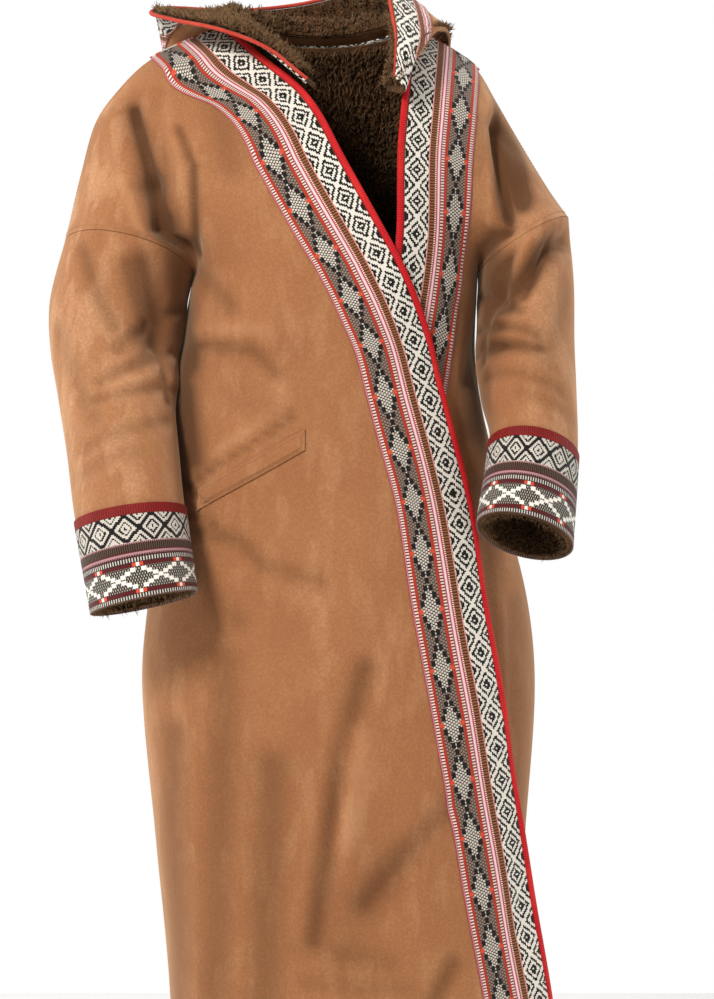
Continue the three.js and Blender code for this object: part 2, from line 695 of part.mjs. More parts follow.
// the v at which a station is a given distance below the rim, kept on its outer side
function vBelowRim(u, distance) {
  const step = 0.01;
  let run = 0;
  let v = 1;
  while (run < distance && v > outerLeg) {
    run += hoodSurface(u, v).distanceTo(hoodSurface(u, v - step));
    v -= step;
  }
  const lastStep = hoodSurface(u, v).distanceTo(hoodSurface(u, v + step));
  return v + (step * Math.max(run - distance, 0)) / lastStep;
}

const hoodColumns = 26;
const bagRows = 9;
const hoodTrimRows = 2;
const endShare = 0.004; // left clear at both ends of the stations

function buildHood() {
  const along = (column) => endShare + ((1 - 2 * endShare) * column) / hoodColumns;
  const rowV = (u, row, rimGap) => {
    const trimStart = vBelowRim(u, hoodTrimWidth);
    if (row <= bagRows) return (trimStart * row) / bagRows;
    const rimEnd = vBelowRim(u, pipingWidth + rimGap);
    return trimStart + ((rimEnd - trimStart) * (row - bagRows)) / hoodTrimRows;
  };
  const furTaper = (u) => sideFur + (furDepth - sideFur) * smooth(Math.min(u - 0.2, 0.8 - u) * 6);
  const sheet = (node, finish, layer, first, last, rimGap) => add(node, wallSolid(hoodSurface, {
    columns: last.column - first.column,
    rows: last.row - first.row,
    layer,
    vMax: 1,
    at: (column, row) => {
      const u = along(first.column + column);
      return [u, rowV(u, first.row + row, rimGap)];
    },
  }), finish);
  const rimRow = bagRows + hoodTrimRows;
  const whole = { column: hoodColumns, row: rimRow };
  sheet('hood', suede, [-wall, 0], { column: 0, row: 0 }, whole, hoodPipingGap);
  sheet('hood_lining', fur, [(u) => -wall - pipingGap - furTaper(u), -wall - pipingGap],
    { column: 1, row: 0 }, { column: hoodColumns - 1, row: rimRow }, 3 * hoodPipingGap);
  const over = [seamGap, seamGap + trimThick];
  sheet('hood_trim', woven, over, { column: 0, row: bagRows }, whole, hoodPipingGap);
  add('piping_hood', wallSolid(hoodSurface, {
    columns: hoodColumns,
    rows: 1,
    layer: [-wall, seamGap + trimThick],
    vMax: 1,
    at: (column, row) => [along(column), row === 0 ? vBelowRim(along(column), pipingWidth) : 1],
  }), redTape);
}

// where a place seen from the front lies on the skirt of a front
function onFront(side, x, z) {
  const row = rowAt(bodySections, 'z', z);
  const reach = side.lapped ? row.lap : row.left;
  const edgeShare = shareOf(rowAt(side.edge, 'z', z).x, row.right, reach);
  const seamShare = side.lapped ? 0 : 1;
  const u = (shareOf(x, row.right, reach) - edgeShare) / (seamShare - edgeShare);
  return [u, (z - hemZ) / (underarmZ - hemZ)];
}

function buildWelt() {
  const columns = 8;
  const rows = 2;
  add('pocket_welt_right', wallSolid(rightCloth, {
    columns,
    rows,
    layer: [weltLift, weltLift + weltThick],
    at: (column, row) => {
      const x = weltTop.x1 + ((weltTop.x2 - weltTop.x1) * column) / columns;
      const z = weltTop.z1 + ((weltTop.z2 - weltTop.z1) * column) / columns;
      return onFront(sides.right, x, z - (weltHeight * row) / rows);
    },
  }), suede);
}

buildFront('front_right', rightCloth, rightSleeve, 15);
buildFront('front_left', leftCloth, leftSleeve, 11);
buildBack();
buildEdgeTrim('right', rightCloth);
buildEdgeTrim('left', leftCloth);
buildNeckTrim();
buildSleeve('right', rightSleeve);
buildSleeve('left', leftSleeve);
buildHood();
buildWelt();

export default group;
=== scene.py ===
import math

import bmesh
import bpy
import numpy as np
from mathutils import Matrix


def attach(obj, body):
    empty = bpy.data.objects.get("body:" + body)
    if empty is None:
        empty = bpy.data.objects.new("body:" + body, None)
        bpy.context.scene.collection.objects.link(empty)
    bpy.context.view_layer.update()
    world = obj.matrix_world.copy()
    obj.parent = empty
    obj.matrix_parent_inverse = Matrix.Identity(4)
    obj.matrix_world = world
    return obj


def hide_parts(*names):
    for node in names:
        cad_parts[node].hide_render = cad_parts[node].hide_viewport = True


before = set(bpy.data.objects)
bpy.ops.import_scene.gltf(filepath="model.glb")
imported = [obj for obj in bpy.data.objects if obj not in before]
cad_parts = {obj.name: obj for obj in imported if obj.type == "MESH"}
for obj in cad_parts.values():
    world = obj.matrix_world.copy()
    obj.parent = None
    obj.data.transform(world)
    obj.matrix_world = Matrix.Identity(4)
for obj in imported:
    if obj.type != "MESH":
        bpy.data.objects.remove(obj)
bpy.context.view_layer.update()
print("frame loaded")

# lengths in millimetres, as in the part, that several pieces share
wall = 3
seamGap = 0.3
trimThick = 1.8
trimWidth = 102
pipingWidth = 7.5
hemZ = -1385
underarmZ = -281
shoulderV = 2 - 0.0015  # a panel's v is 0 at the hem, 1 under the arm and 2 on the shoulder

bodyCut = {
    "roundness": 0.8,  # of the sections' sides: 1 is an ellipse
    "overShoulder": 150,  # pull of the cloth over the shoulders
    "neckLift": 90,
    "neckBlend": 0.12,
    "evenTurn": 0.35,  # how evenly the armhole's seam is shared out
    "shoulderFade": 5,  # folds run out towards the seams
    "sideFade": 14,
    "skirtShare": 0.62,  # of a panel's rows
    "ripples": ((1.1, 37, 83, 61, 95), (0.6, 17, 43)),
    "ridgeHighlightLimit": -2.5,  # lightest painted highlight that a ridge gets
    "creasePaintedShade": 1.35,  # how much painted shade creases and folds lay on the suede
    # painted shade of the broad folds, as a share of their depth
    "foldPaintedShade": 0.38,
}


def table(names, *rows):
    return dict(zip(names.split(), np.array(rows, float).T))


bodySections = table(
    "z right left front back lap lift",
    (-1385, -205, 228, 166, 160, 330, 22),
    (-1192, -212, 232, 168, 162, 304, 18),
    (-1006, -229, 241, 172, 165, 286, 14),
    (-806, -247, 254, 173, 166, 278, 11),
    (-694, -239, 244, 168, 161, 262, 10),
    (-550, -219, 208, 158, 150, 226, 9),
    (-400, -203, 179, 147, 139, 194, 9),
    (-281, -181.5, 181, 140, 132, 190, 9),
)
rightEdge = table(
    "z x", (-1385, 297), (-1192, 270), (-1069, 250), (-944, 231), (-819, 212), (-719, 194), (-569, 169),
    (-444, 138), (-362, 118), (-281, 86), (-144, 12), (-62, -35), (-1, -102), (36, -140),
)
leftEdge = table(
    "z x", (-1385, -60), (-1000, -22), (-700, 8), (-444, 42), (-356, 60), (-281, 72), (-231, 77),
    (-131, 79), (-56, 85), (32, 92),
)
chestProfile = table("z share", (-281, 1), (-144, 0.95), (-62, 0.8), (-24, 0.63), (0, 0.45), (20, 0.22), (36, 0))
rightShoulder = table(
    "x y z", (-140, 0, 36), (-196, 0, 14), (-240, 0, -8), (-274, 0, -40), (-306, 0, -84), (-325, 0, -150),
    (-346.5, 0, -244),
)
leftShoulder = table(
    "x y z", (92, 0, 32), (119, 0, 21), (156, 0, 0), (181, 0, -20), (206, 0, -62), (236, 0, -114),
    (266, 0, -164), (297, 0, -211),
)
backNeck = table(
    "x y z", (-140, 0, 36), (-122, 44, 31), (-76, 72, 23), (-24, 79, 19), (30, 69, 21), (74, 40, 27), (92, 0, 32),
)
rightSleeve = table(
    "x y z wide deep outerRise frontRise",
    (-264, 0, -262.5, 82.5, 95, 18.5, 28),
    (-281, -14, -330, 83, 92, 12, 24),
    (-285, -33, -381, 77, 85, 4, 20),
    (-277, -60, -440, 73, 79, 0, 18),
    (-266, -98, -506, 70, 72, -4, 16),
    (-256, -136, -575, 68, 67, -9, 14),
    (-234, -188, -695, 64, 58, -14, 8),
)
leftSleeve = table(
    "x y z wide deep outerRise frontRise",
    (239, 0, -246, 58, 104, 35, 12),
    (242, -34, -318, 60, 97, 20, 20),
    (240, -64, -380, 61, 84, 8, 28),
    (242, -92, -440, 60, 74, 0, 32),
    (247, -118, -497, 55, 62, -8, 30),
    (233, -178, -613, 58, 54, -14, 26),
)
hoodStations = table(
    "i nx ny nz kx ky kz rx ry rz",
    (0, 66, -90, -64, 78, -118, -64, 72, -126, -44),
    (1, 72, -70, -30, 92, -112, -24, 74, -114, 4),
    (2, 76, -42, 6, 108, -80, 6, 70, -92, 34),
    (3, 77, -8, 36, 120, -34, 28, 64, -60, 72),
    (4, 73, 22, 40, 132, 40, 18, 58, -8, 98),
    (5, 50, 52, 36, 104, 142, -70, 50, 66, 104),
    (6, 6, 66, 30, 44, 184, -190, 6, 128, 98),
    (7, -44, 66, 30, -44, 196, -225, -56, 158, 88),
    (8, -92, 50, 36, -132, 176, -150, -134, 150, 80),
    (9, -120, 20, 46, -206, 92, 6, -220, 82, 74),
    (10, -124, -10, 44, -162, 2, 46, -240, 20, 56),
    (11, -112, -32, 30, -142, -38, 35, -206, -48, 38),
    (12, -86, -48, 10, -106, -68, 18, -146, -100, 19),
    (13, -56, -74, -20, -66, -98, -14, -82, -130, -8),
    (14, -24, -96, -58, -29, -116, -53, -30, -140, -48),
)

# troughs seen from the front, from one end to the other; a negative depth is a ridge
frontFolds = table(
    "x1 z1 x2 z2 width depth",
    (-262, -60, -236, -170, 18, 12),
    (-236, -170, -205, -262, 17, 18),
    (-231, -60, -190, -255, 15, 9),
    (206, -96, 213, -232, 16, 13),
    (-170, -380, -50, -386, 24, 4),
    (-125, -444, -72, -474, 20, 4),
    (60, -1020, 20, -1130, 34, 5),
)
frontCreases = table(
    "x1 z1 x2 z2 width depth",
    (-262, -70, -233, -166, 8, 7),
    (-233, -166, -213, -250, 8, 8),
    (-213, -250, -190, -282, 8, 6),
    (-236, -62, -202, -130, 11, -5),
    (-202, -130, -194, -240, 9, -5),
    (-198, -104, -178, -150, 7, 5),
    (-178, -150, -177, -262, 7, 6),
    (-262, -170, -238, -236, 10, -4),
    (-150, -60, -130, -150, 22, 2.5),
    (-186, -262, -130, -330, 12, 3),
    (-196, -330, -186, -400, 16, 4),
    (-178, -372, -106, -380, 9, 3),
    (-106, -380, -72, -414, 9, 2.6),
    (-172, -356, -90, -362, 12, -2.5),
    (-190, -430, -176, -520, 14, 3.5),
    (-170, -540, -106, -500, 6, 3.2),
    (-106, -500, -54, -464, 7, 2.6),
    (-150, -514, -84, -468, 9, -2),
    (-196, -540, -160, -572, 6, 3.2),
    (-190, -584, -150, -598, 7, 3),
    (-178, -606, -119, -619, 11, 3.2),
    (-119, -619, -87, -650, 11, 2.8),
    (-87, -650, -16, -670, 12, 2.4),
    (-190, -640, -120, -720, 18, 2.6),
    (37, -775, 6, -894, 15, 4.5),
    (6, -894, -10, -994, 13, 5.5),
    (-10, -994, -27, -1110, 14, 5),
    (28, -860, 14, -990, 16, -3),
    (144, -944, 94, -994, 14, 3.6),
    (94, -994, 36, -1064, 15, 4),
    (146, -1140, 112, -1204, 12, 4.4),
    (112, -1204, 60, -1330, 18, 3.6),
    (-136, -770, -150, -1180, 26, 3.2),
    (-78, -900, -96, -1370, 28, 3.6),
    (-206, -860, -196, -1380, 22, 3.6),
    (-60, -1120, 70, -1136, 13, 1.8),
    (-40, -1164, 96, -1170, 12, 1.6),
    (196, -40, 200, -220, 8, -4),
    (207, -44, 213, -212, 8, 8),
    (222, -70, 236, -196, 14, 6),
    (192, -250, 186, -330, 9, 4),
    (186, -330, 168, -420, 10, 4),
    (150, -330, 128, -420, 14, 2.5),
    (190, -560, 204, -820, 18, 3),
    (222, -700, 232, -1100, 14, 3),
)
# painted shade: broad dark places where cloth lies against cloth; they change the colour alone
paintedShadeBody = table(
    "x1 z1 x2 z2 width depth",
    (-204, -300, -198, -570, 26, 8),
    (-214, -225, -196, -300, 14, 6),
    (206, -36, 214, -206, 8, 4),
    (222, -70, 240, -186, 17, 5),
    (196, -236, 178, -480, 20, 8),
    (246, -640, 262, -1300, 16, 3),
)
# painted shade on the sleeves, in deep folds and on their inner sides near the body; it changes the colour alone
paintedShadeSleeves = table(
    "x1 z1 x2 z2 width depth",
    (-206, -262, -198, -400, 15, 7),
    (-198, -400, -188, -560, 9, 5),
    (198, -262, 186, -380, 19, 9),
    (262, -250, 206, -312, 13, 5),
    (184, -380, 186, -520, 10, 6),
)
backFolds = table(
    "x1 z1 x2 z2 width depth",
    (-262, -70, -205, -262, 24, 11),
    (214, -96, 206, -240, 22, 9),
    (-110, -420, 60, -436, 30, 4),
    (70, -700, 96, -1250, 40, 6),
    (-90, -760, -120, -1300, 44, 6),
)
backCreases = table(
    "x1 z1 x2 z2 width depth",
    (-236, -110, -190, -250, 10, 3),
    (190, -120, 186, -250, 10, 3),
    (-140, -300, -40, -336, 14, 2.4),
    (20, -318, 150, -290, 14, 2.2),
    (-80, -470, 90, -486, 16, 2.4),
    (-120, -520, 20, -512, 14, -1.8),
    (-10, -760, -16, -1360, 30, 4),
    (150, -820, 172, -1370, 28, 4),
    (-180, -860, -190, -1370, 26, 3.6),
    (30, -900, 44, -1300, 18, 2.4),
)
sleeveFolds = table(
    "x1 z1 x2 z2 width depth",
    (-256, -276, -226, -372, 18, 11),
    (290, -238, 206, -316, 18, 14),
    (206, -372, 252, -378, 15, 7),
)
# creases on the sleeves, by place round (turn share) and along; wide is in degrees round
sleeveCreases = table(
    "u1 v1 u2 v2 width depth",
    (0.14, 0.03, 0.27, 0.24, 8, 4.5),
    (0.3, 0.02, 0.4, 0.2, 9, 6),
    (0.4, 0.2, 0.44, 0.42, 9, 5),
    (0.24, 0.02, 0.34, 0.22, 9, -3.5),
    (0.46, 0.12, 0.28, 0.3, 8, 4),
    (0.47, 0.27, 0.22, 0.4, 8, 4.6),
    (0.48, 0.38, 0.18, 0.45, 7, 4.2),
    (0.44, 0.33, 0.24, 0.42, 10, -3),
    (0.1, 0.24, 0.18, 0.5, 12, 3),
    (0.42, 0.5, 0.14, 0.58, 9, 3),
    (0.3, 0.6, 0.06, 0.66, 10, 2.2),
    (0.58, 0.1, 0.72, 0.3, 12, 4.5),
    (0.56, 0.34, 0.8, 0.4, 10, 3.6),
    (0.6, 0.46, 0.84, 0.5, 10, 3),
    (0.9, 0.12, 0.78, 0.36, 12, 3.4),
)


def hermite(p0, m0, p1, m1, t):
    t2, t3 = t * t, t * t * t
    return p0 * (2 * t3 - 3 * t2 + 1) + m0 * (t3 - 2 * t2 + t) + p1 * (3 * t2 - 2 * t3) + m1 * (t3 - t2)


# smooth rows between the rows of a table, by values of one of its columns
def rowAt(rows, key, value):
    keys = rows[key]
    value = np.asarray(value, float)
    i = np.searchsorted(keys[1:-1], value)
    j, before, after = i + 1, np.maximum(i - 1, 0), np.minimum(i + 2, len(keys) - 1)
    span = keys[j] - keys[i]
    t = (value - keys[i]) / span
    out = {}
    for name, c in rows.items():
        slopeA = (c[j] - c[before]) / (keys[j] - keys[before]) * span
        slopeB = (c[after] - c[i]) / (keys[after] - keys[i]) * span
        out[name] = hermite(c[i], slopeA, c[j], slopeB, t)
    return out


def pointOf(row):
    return np.stack(np.broadcast_arrays(row["x"], row["y"], row["z"]), -1)


def runs(points):
    return np.concatenate([[0], np.cumsum(np.linalg.norm(np.diff(points, axis=0), axis=1))])


def measured(rows):
    run = runs(pointOf(rows))
    return {**rows, "s": run / run[-1]}


def tableLength(rows):
    return runs(pointOf(rows))[-1]


def smooth(t):
    c = np.clip(t, 0, 1)
    return c * c * (3 - 2 * c)


def unit(v):
    return v / np.maximum(np.linalg.norm(v, axis=-1, keepdims=True), 1e-9)


def sectionPoint(z, share, right, left, depth):
    angle = math.pi * share
    x = (right + left) / 2 - (left - right) / 2 * np.cos(angle)
    y = -depth * np.maximum(np.sin(angle), 0) ** bodyCut["roundness"]
    return np.stack(np.broadcast_arrays(x, y, z), -1)


def shareOf(x, right, left):
    return np.arccos(np.clip(1 - 2 * (x - right) / (left - right), -1, 1)) / math.pi


# the troughs of a table at places given by two coordinates, one after another
def foldShares(folds, x, z, names=("x1", "z1", "x2", "z2")):
    for k in range(len(folds["width"])):
        x1, z1, x2, z2 = (folds[n][k] for n in names)
        dx, dz = x2 - x1, z2 - z1
        t = np.clip(((x - x1) * dx + (z - z1) * dz) / (dx * dx + dz * dz), 0, 1)
        off = np.hypot(x - x1 - t * dx, z - z1 - t * dz)
        yield folds["depth"][k] * np.exp(-((off / folds["width"][k]) ** 2))


def foldDepth(folds, x, z):
    return sum(foldShares(folds, x, z))


# creases run on into one another, so the deepest counts and not the sum
def creaseDepth(creases, x, z, names=("x1", "z1", "x2", "z2")):
    trough = ridge = np.zeros(np.shape(x))
    for share in foldShares(creases, x, z, names):
        trough, ridge = np.maximum(trough, share), np.minimum(ridge, share)
    return trough + ridge


def sleeveSection(row, turn):
    out = np.sign(row["x"])
    c, s = np.cos(turn), np.sin(turn)
    return np.stack(np.broadcast_arrays(
        row["x"] + out * row["wide"] * c,
        row["y"] - row["deep"] * s,
        row["z"] + row["outerRise"] * c + row["frontRise"] * s,
    ), -1)


def armRing(sections, turn):
    return sleeveSection({k: c[0] for k, c in sections.items()}, turn)


def ringShare(t):
    return bodyCut["evenTurn"] * t + (1 - bodyCut["evenTurn"]) * smooth(t)


# a surface of u and v with its outward normal
class Cloth:
    def __init__(self, form, flip=False, uMax=1, vMax=2, uMin=0):
        self.form, self.flip, self.uMax, self.vMax, self.uMin = form, flip, uMax, vMax, uMin

    def at(self, u, v):
        u, v = np.broadcast_arrays(np.asarray(u, float), np.asarray(v, float))
        return self.form(u, v)

    def normal(self, u, v, step=0.004):
        u, v = np.broadcast_arrays(np.asarray(u, float), np.asarray(v, float))
        u0, u1 = np.maximum(u - step, self.uMin), np.minimum(u + step, self.uMax)
        v0, v1 = np.maximum(v - step, 0), np.minimum(v + step, self.vMax)
        n = unit(np.cross(self.at(u1, v) - self.at(u0, v), self.at(u, v1) - self.at(u, v0)))
        return -n if self.flip else n

    def lifted(self, u, v, lift):
        lift = np.asarray(lift, float)
        return self.at(u, v) + self.normal(u, v) * (lift[..., None] if lift.ndim else lift)

    # the same surface pressed in along its normal; creasing gives how deep a place is and the painted shade on its
    # colour, painted highlight where negative
    def pressed(self, creasing):
        def form(u, v):
            point = self.at(u, v)
            return point - self.normal(u, v) * creasing(u, v, point)[0][..., None]

        cloth = Cloth(form, self.flip, self.uMax, self.vMax, self.uMin)
        cloth.darkness = lambda u, v: creasing(u, v, self.at(u, v))[1]
        return cloth


def column(low, slope, top, arrive, t):
    return hermite(low, slope, top, arrive, t[..., None])


def frontSection(side, u, z):
    row = rowAt(bodySections, "z", z)
    reach = row["lap"] if side["lapped"] else row["left"]
    depth = row["front"] + (row["lift"] if side["lapped"] else 0)
    edge = shareOf(rowAt(side["edge"], "z", z)["x"], row["right"], reach)
    seam = 0 if side["lapped"] else 1
    return sectionPoint(z, edge + (seam - edge) * u, row["right"], reach, depth)


# a front: u 0 at its edge, 1 at the side seam and armhole; v 0 hem, 1 underarm, 2 shoulder
def frontPanel(side, u, v):
    z = hemZ + (underarmZ - hemZ) * np.minimum(v, 1)
    low = frontSection(side, u, z)
    t = np.maximum(v - 1, 0)
    shoulder = side["shoulder"]
    rise = shoulder["z"][0] - underarmZ
    arrive = np.array([0, bodyCut["overShoulder"], 0])

    def plain(at, start, top):
        slope = (start - frontSection(side, at, z - 2)) * rise / 2
        return column(start, slope, top, arrive, t)

    body = plain(u, low, pointOf(rowAt(shoulder, "s", u)))
    edgeLow = frontSection(side, 0, z)
    edgeZ = underarmZ + rise * t
    level = rowAt(chestProfile, "z", np.minimum(edgeZ, 36))["share"] * (t < 1)
    edge = np.stack([rowAt(side["edge"], "z", edgeZ)["x"], edgeLow[..., 1] * level, edgeZ], -1)
    ring = armRing(side["sleeve"], math.pi * (1 - ringShare(t)))
    ends = pointOf(shoulder)
    body = body + (edge - plain(0, edgeLow, ends[0])) * ((1 - u) ** 2)[..., None]
    body = body + (ring - plain(1, frontSection(side, 1, z), ends[-1])) * (u ** 3)[..., None]
    return np.where((v <= 1)[..., None], low, body)


sides = {
    "right": {"lapped": True, "edge": rightEdge, "shoulder": measured(rightShoulder), "sleeve": rightSleeve},
    "left": {"lapped": False, "edge": leftEdge, "shoulder": measured(leftShoulder), "sleeve": leftSleeve},
}
topLength = tableLength(rightShoulder) + tableLength(backNeck) + tableLength(leftShoulder)
neckStart = tableLength(rightShoulder) / topLength
neckEnd = 1 - tableLength(leftShoulder) / topLength
neckLine = measured(backNeck)


def backTop(u):
    right = pointOf(rowAt(sides["right"]["shoulder"], "s", 1 - np.minimum(u, neckStart) / neckStart))
    left = pointOf(rowAt(sides["left"]["shoulder"], "s", (np.maximum(u, neckEnd) - neckEnd) / (1 - neckEnd)))
    neck = pointOf(rowAt(neckLine, "s", np.clip((u - neckStart) / (neckEnd - neckStart), 0, 1)))
    return np.where((u < neckStart)[..., None], right, np.where((u > neckEnd)[..., None], left, neck))


def backSection(u, z):
    row = rowAt(bodySections, "z", z)
    return sectionPoint(z, u, row["right"], row["left"], row["back"]) * np.array([1, -1, 1])


def backPanel(u, v):
    z = hemZ + (underarmZ - hemZ) * np.minimum(v, 1)
    t = np.maximum(v - 1, 0)
    rise = rightShoulder["z"][0] - underarmZ

    def plain(at):
        at = np.broadcast_to(at, z.shape)
        start = backSection(at, z)
        slope = (start - backSection(at, z - 2)) * rise / 2
        blend, lift = bodyCut["neckBlend"], bodyCut["neckLift"]
        middle = smooth((at - neckStart) / blend) * smooth((neckEnd - at) / blend)
        arrive = np.stack([0 * middle, lift * middle - bodyCut["overShoulder"], lift * middle], -1)
        return column(start, slope, backTop(at), arrive, t)

    low = backSection(u, z)
    turn = math.pi * (1 + ringShare(t))
    body = plain(u)
    body = body + (armRing(rightSleeve, turn) - plain(0.0)) * ((1 - u) ** 4)[..., None]
    body = body + (armRing(leftSleeve, turn) - plain(1.0)) * (u ** 4)[..., None]
    return np.where((v <= 1)[..., None], low, body)


# pressed folds of a body panel, running out before the shoulder and side seams, with painted shade in its creases
# and folds, painted highlight on its ridges and painted shade where cloth lies against cloth
def panelFolds(folds, creases, seams):
    broad, fine = bodyCut["ripples"]

    def creasing(u, v, point):
        x, z = point[..., 0], point[..., 2]
        fromSide = np.min([np.abs(u - s) for s in seams], axis=0)
        fade = smooth((2 - v) * bodyCut["shoulderFade"]) * smooth(fromSide * bodyCut["sideFade"])
        ripple = broad[0] * np.sin(x / broad[1] + z / broad[2]) * np.sin(z / broad[3] - x / broad[4])
        ripple = ripple + fine[0] * np.sin(x / fine[1] - z / fine[2])
        sharp, deep = creaseDepth(creases, x, z) * fade, foldDepth(folds, x, z)
        # painted shade: creases and folds darken the colour, and ridges are lightened as painted highlight, up to
        # a limit
        dark = np.maximum(sharp * bodyCut["creasePaintedShade"], bodyCut["ridgeHighlightLimit"]) + bodyCut["foldPaintedShade"] * deep * fade
        return sharp + (deep + ripple) * fade, dark + creaseDepth(paintedShadeBody, x, z)
    return creasing


rightCloth = Cloth(lambda u, v: frontPanel(sides["right"], u, v), True).pressed(
    panelFolds(frontFolds, frontCreases, [1]))
leftCloth = Cloth(lambda u, v: frontPanel(sides["left"], u, v)).pressed(
    panelFolds(frontFolds, frontCreases, [1]))
backCloth = Cloth(backPanel, True).pressed(panelFolds(backFolds, backCreases, [0, 1]))


# the sleeves: lengths along them in millimetres, fades as shares of their length
sleeveCut = {
    "cuffLength": 118,
    "stripWidth": 13,
    "furLength": 78,  # of the fur seen in the mouth
    "furThick": 4.0,
    "endGap": 1.5,  # the sleeve's cloth ends inside the cuff's mouth
    "furGap": 1,
    "stripLift": 0.3,
    "rows": {"sleeve": 120, "cuff_strip": 5, "cuff": 34, "cuff_lining": 12},
    "ring": 150 * math.pi,  # length given to the weave round the arm
    "foldFade": 12,
    "creaseFade": 16,
    "cuffFade": 9,
    "creaseScale": 0.8,  # millimetres along for each degree round
    # limit of the painted highlight on ridges, and painted shade of the broad folds
    "ridgeHighlightLimit": -2,
    "foldPaintedShade": 0.55,
    "columns": 96,
}
# the locks in a cuff's mouth
cuffFurCut = {
    "locks": 5200,
    "root": 6.3,
    "mouthGap": 2,
    "lean": 0.9,
    "length": 8.5,
    "thick": 1.0,
}
# the inner side bulges softly towards the body
innerBulge = {
    "right": (0.5, 0.17, 0.5, 0.33, 27, -9),
    "left": (0.5, 0.14, 0.5, 0.4, 20, -3),
}


def sleeveCloth(side, sections):
    rows = measured(sections)
    length = tableLength(sections)
    cuffStart = 1 - sleeveCut["cuffLength"] / length
    scale = length * sleeveCut["creaseScale"]
    units = {"u1": 360, "v1": scale, "u2": 360, "v2": scale, "width": 1, "depth": 1}
    creases = {k: np.append(sleeveCreases[k], bulge) * units[k] for k, bulge in zip(units, innerBulge[side])}
    base = Cloth(lambda u, v: sleeveSection(rowAt(rows, "s", v), 2 * math.pi * u), side == "right", 2, 1, -1)

    def creasing(u, v, point):
        x, z = point[..., 0], point[..., 2]
        front = smooth(np.sin(2 * math.pi * u) * 2) * smooth(v * sleeveCut["foldFade"])
        deep = foldDepth(sleeveFolds, x, z) * front
        fine = creaseDepth(creases, 360 * (u % 1), v * scale, ("u1", "v1", "u2", "v2"))
        sharp = fine * smooth(v * sleeveCut["creaseFade"]) * smooth((cuffStart - v) * sleeveCut["cuffFade"])
        # painted shade in creases and folds, painted highlight on ridges, and painted shade where the sleeve lies
        # near the body
        dark = np.maximum(sharp, sleeveCut["ridgeHighlightLimit"]) + sleeveCut["foldPaintedShade"] * deep
        return deep + sharp, dark + creaseDepth(paintedShadeSleeves, x, z)

    cloth = base.pressed(creasing)
    cloth.length = length
    return cloth


# smooth path through the last axis but one of an array of points, by place k along it
def alongPath(path, k):
    last = path.shape[-2] - 1
    i = np.clip(np.ceil(k).astype(int) - 1, 0, last - 1)

    def pick(index):
        return np.take_along_axis(path, index[..., None, None], -2)[..., 0, :]

    j, before, after = i + 1, np.maximum(i - 1, 0), np.minimum(i + 2, last)
    slopeA = (pick(j) - pick(before)) / (j - before)[..., None]
    slopeB = (pick(after) - pick(i)) / (after - i)[..., None]
    return hermite(pick(i), slopeA, pick(j), slopeB, (k - i)[..., None])


# the hood: u along the stations, v from the neck seam over the keel to the rim
hoodCut = {
    "lip": 12,  # the roll at the neck, up and out
    "lipReach": 14,
    "keelSpread": 28,  # half the bag's thickness, at its bottom and at its sides
    "sideSpread": 15,
    "deepBag": 120,
    "wideKeel": 90,
    "roomyFrom": 0.3,
    "roomyRise": 3,
    "innerPlace": 0.55,
    "innerSpread": 0.33,
    "keelSide": 0.5,
    "outerLeg": 0.7,  # v where the outer leg starts
    "ends": 0.004,  # left free at both ends
    "dents": ((1.4, 34, 9, 15), (0.8, 61, 12)),
    "dentFade": 6,
    "dentTop": 0.9,
    "meshes": {"hood": (150, 66), "lining": (130, 60), "trim": (220, 16), "piping": (12, 300)},
    "belowRim": {"hood": 5.5, "lining": 9, "trim": 6.5},  # where each ends
    "trimWidth": 62,
    "liningSides": (0.03, 0.97),
    "liningGap": 1.2,
    "liningThick": 1.6,
}
# the piping along the hood's rim
hoodPipingCut = {
    "width": 5.2,
    "bulge": 2.5,
    "drop": 0.6,
    "girth": 16,
}
# the locks on the hood's fur side
hoodFurCut = {
    "locks": 17500,
    "ends": 0.02,
    "gather": 0.8,  # below 1 sets more of them near the rim
    "root": 2.2,
    "lean": 0.8,
    "length": 8.2,
    "thick": 1.5,
}


def hoodForm(u, v):
    row = rowAt(hoodStations, "i", u * 14)
    neck, keel, rim = (np.stack([row[p + "x"], row[p + "y"], row[p + "z"]], -1) for p in "nkr")
    far = np.minimum(1, np.linalg.norm(keel - neck, axis=-1) / hoodCut["wideKeel"])[..., None]
    roomy = smooth((far - hoodCut["roomyFrom"]) * hoodCut["roomyRise"])
    outward = unit((keel - neck) * np.array([1, 1, 0]))
    lip = neck + np.array([0, 0, hoodCut["lip"]]) * far + outward * hoodCut["lipReach"] * far
    hang = smooth((neck[..., 2] - keel[..., 2]) / hoodCut["deepBag"])
    spread = (hoodCut["sideSpread"] + (hoodCut["keelSpread"] - hoodCut["sideSpread"]) * hang)[..., None]
    inner = lip + (keel - lip) * hoodCut["innerPlace"] + outward * roomy * spread * hoodCut["innerSpread"]
    lowInner = keel - outward * roomy * spread * hoodCut["keelSide"]
    lowOuter = keel + outward * spread
    outer = (lowOuter + rim) / 2 + outward * spread / 2
    path = np.stack([neck, lip, inner, lowInner, lowOuter, outer, rim], -2)
    return alongPath(path, v * (path.shape[-2] - 1))


hoodPlain = Cloth(hoodForm, vMax=1)


def hoodDents(u, v, point):
    (deep, aroundU, aroundV, alongV), (shallow, fineU, fineV) = hoodCut["dents"]
    ripple = deep * np.sin(u * aroundU + v * aroundV) * np.sin(v * alongV)
    ripple = ripple + shallow * np.sin(u * fineU - v * fineV)
    fade = smooth(v * hoodCut["dentFade"]) * smooth((hoodCut["dentTop"] - v) * hoodCut["dentFade"])
    return ripple * fade, 0 * v


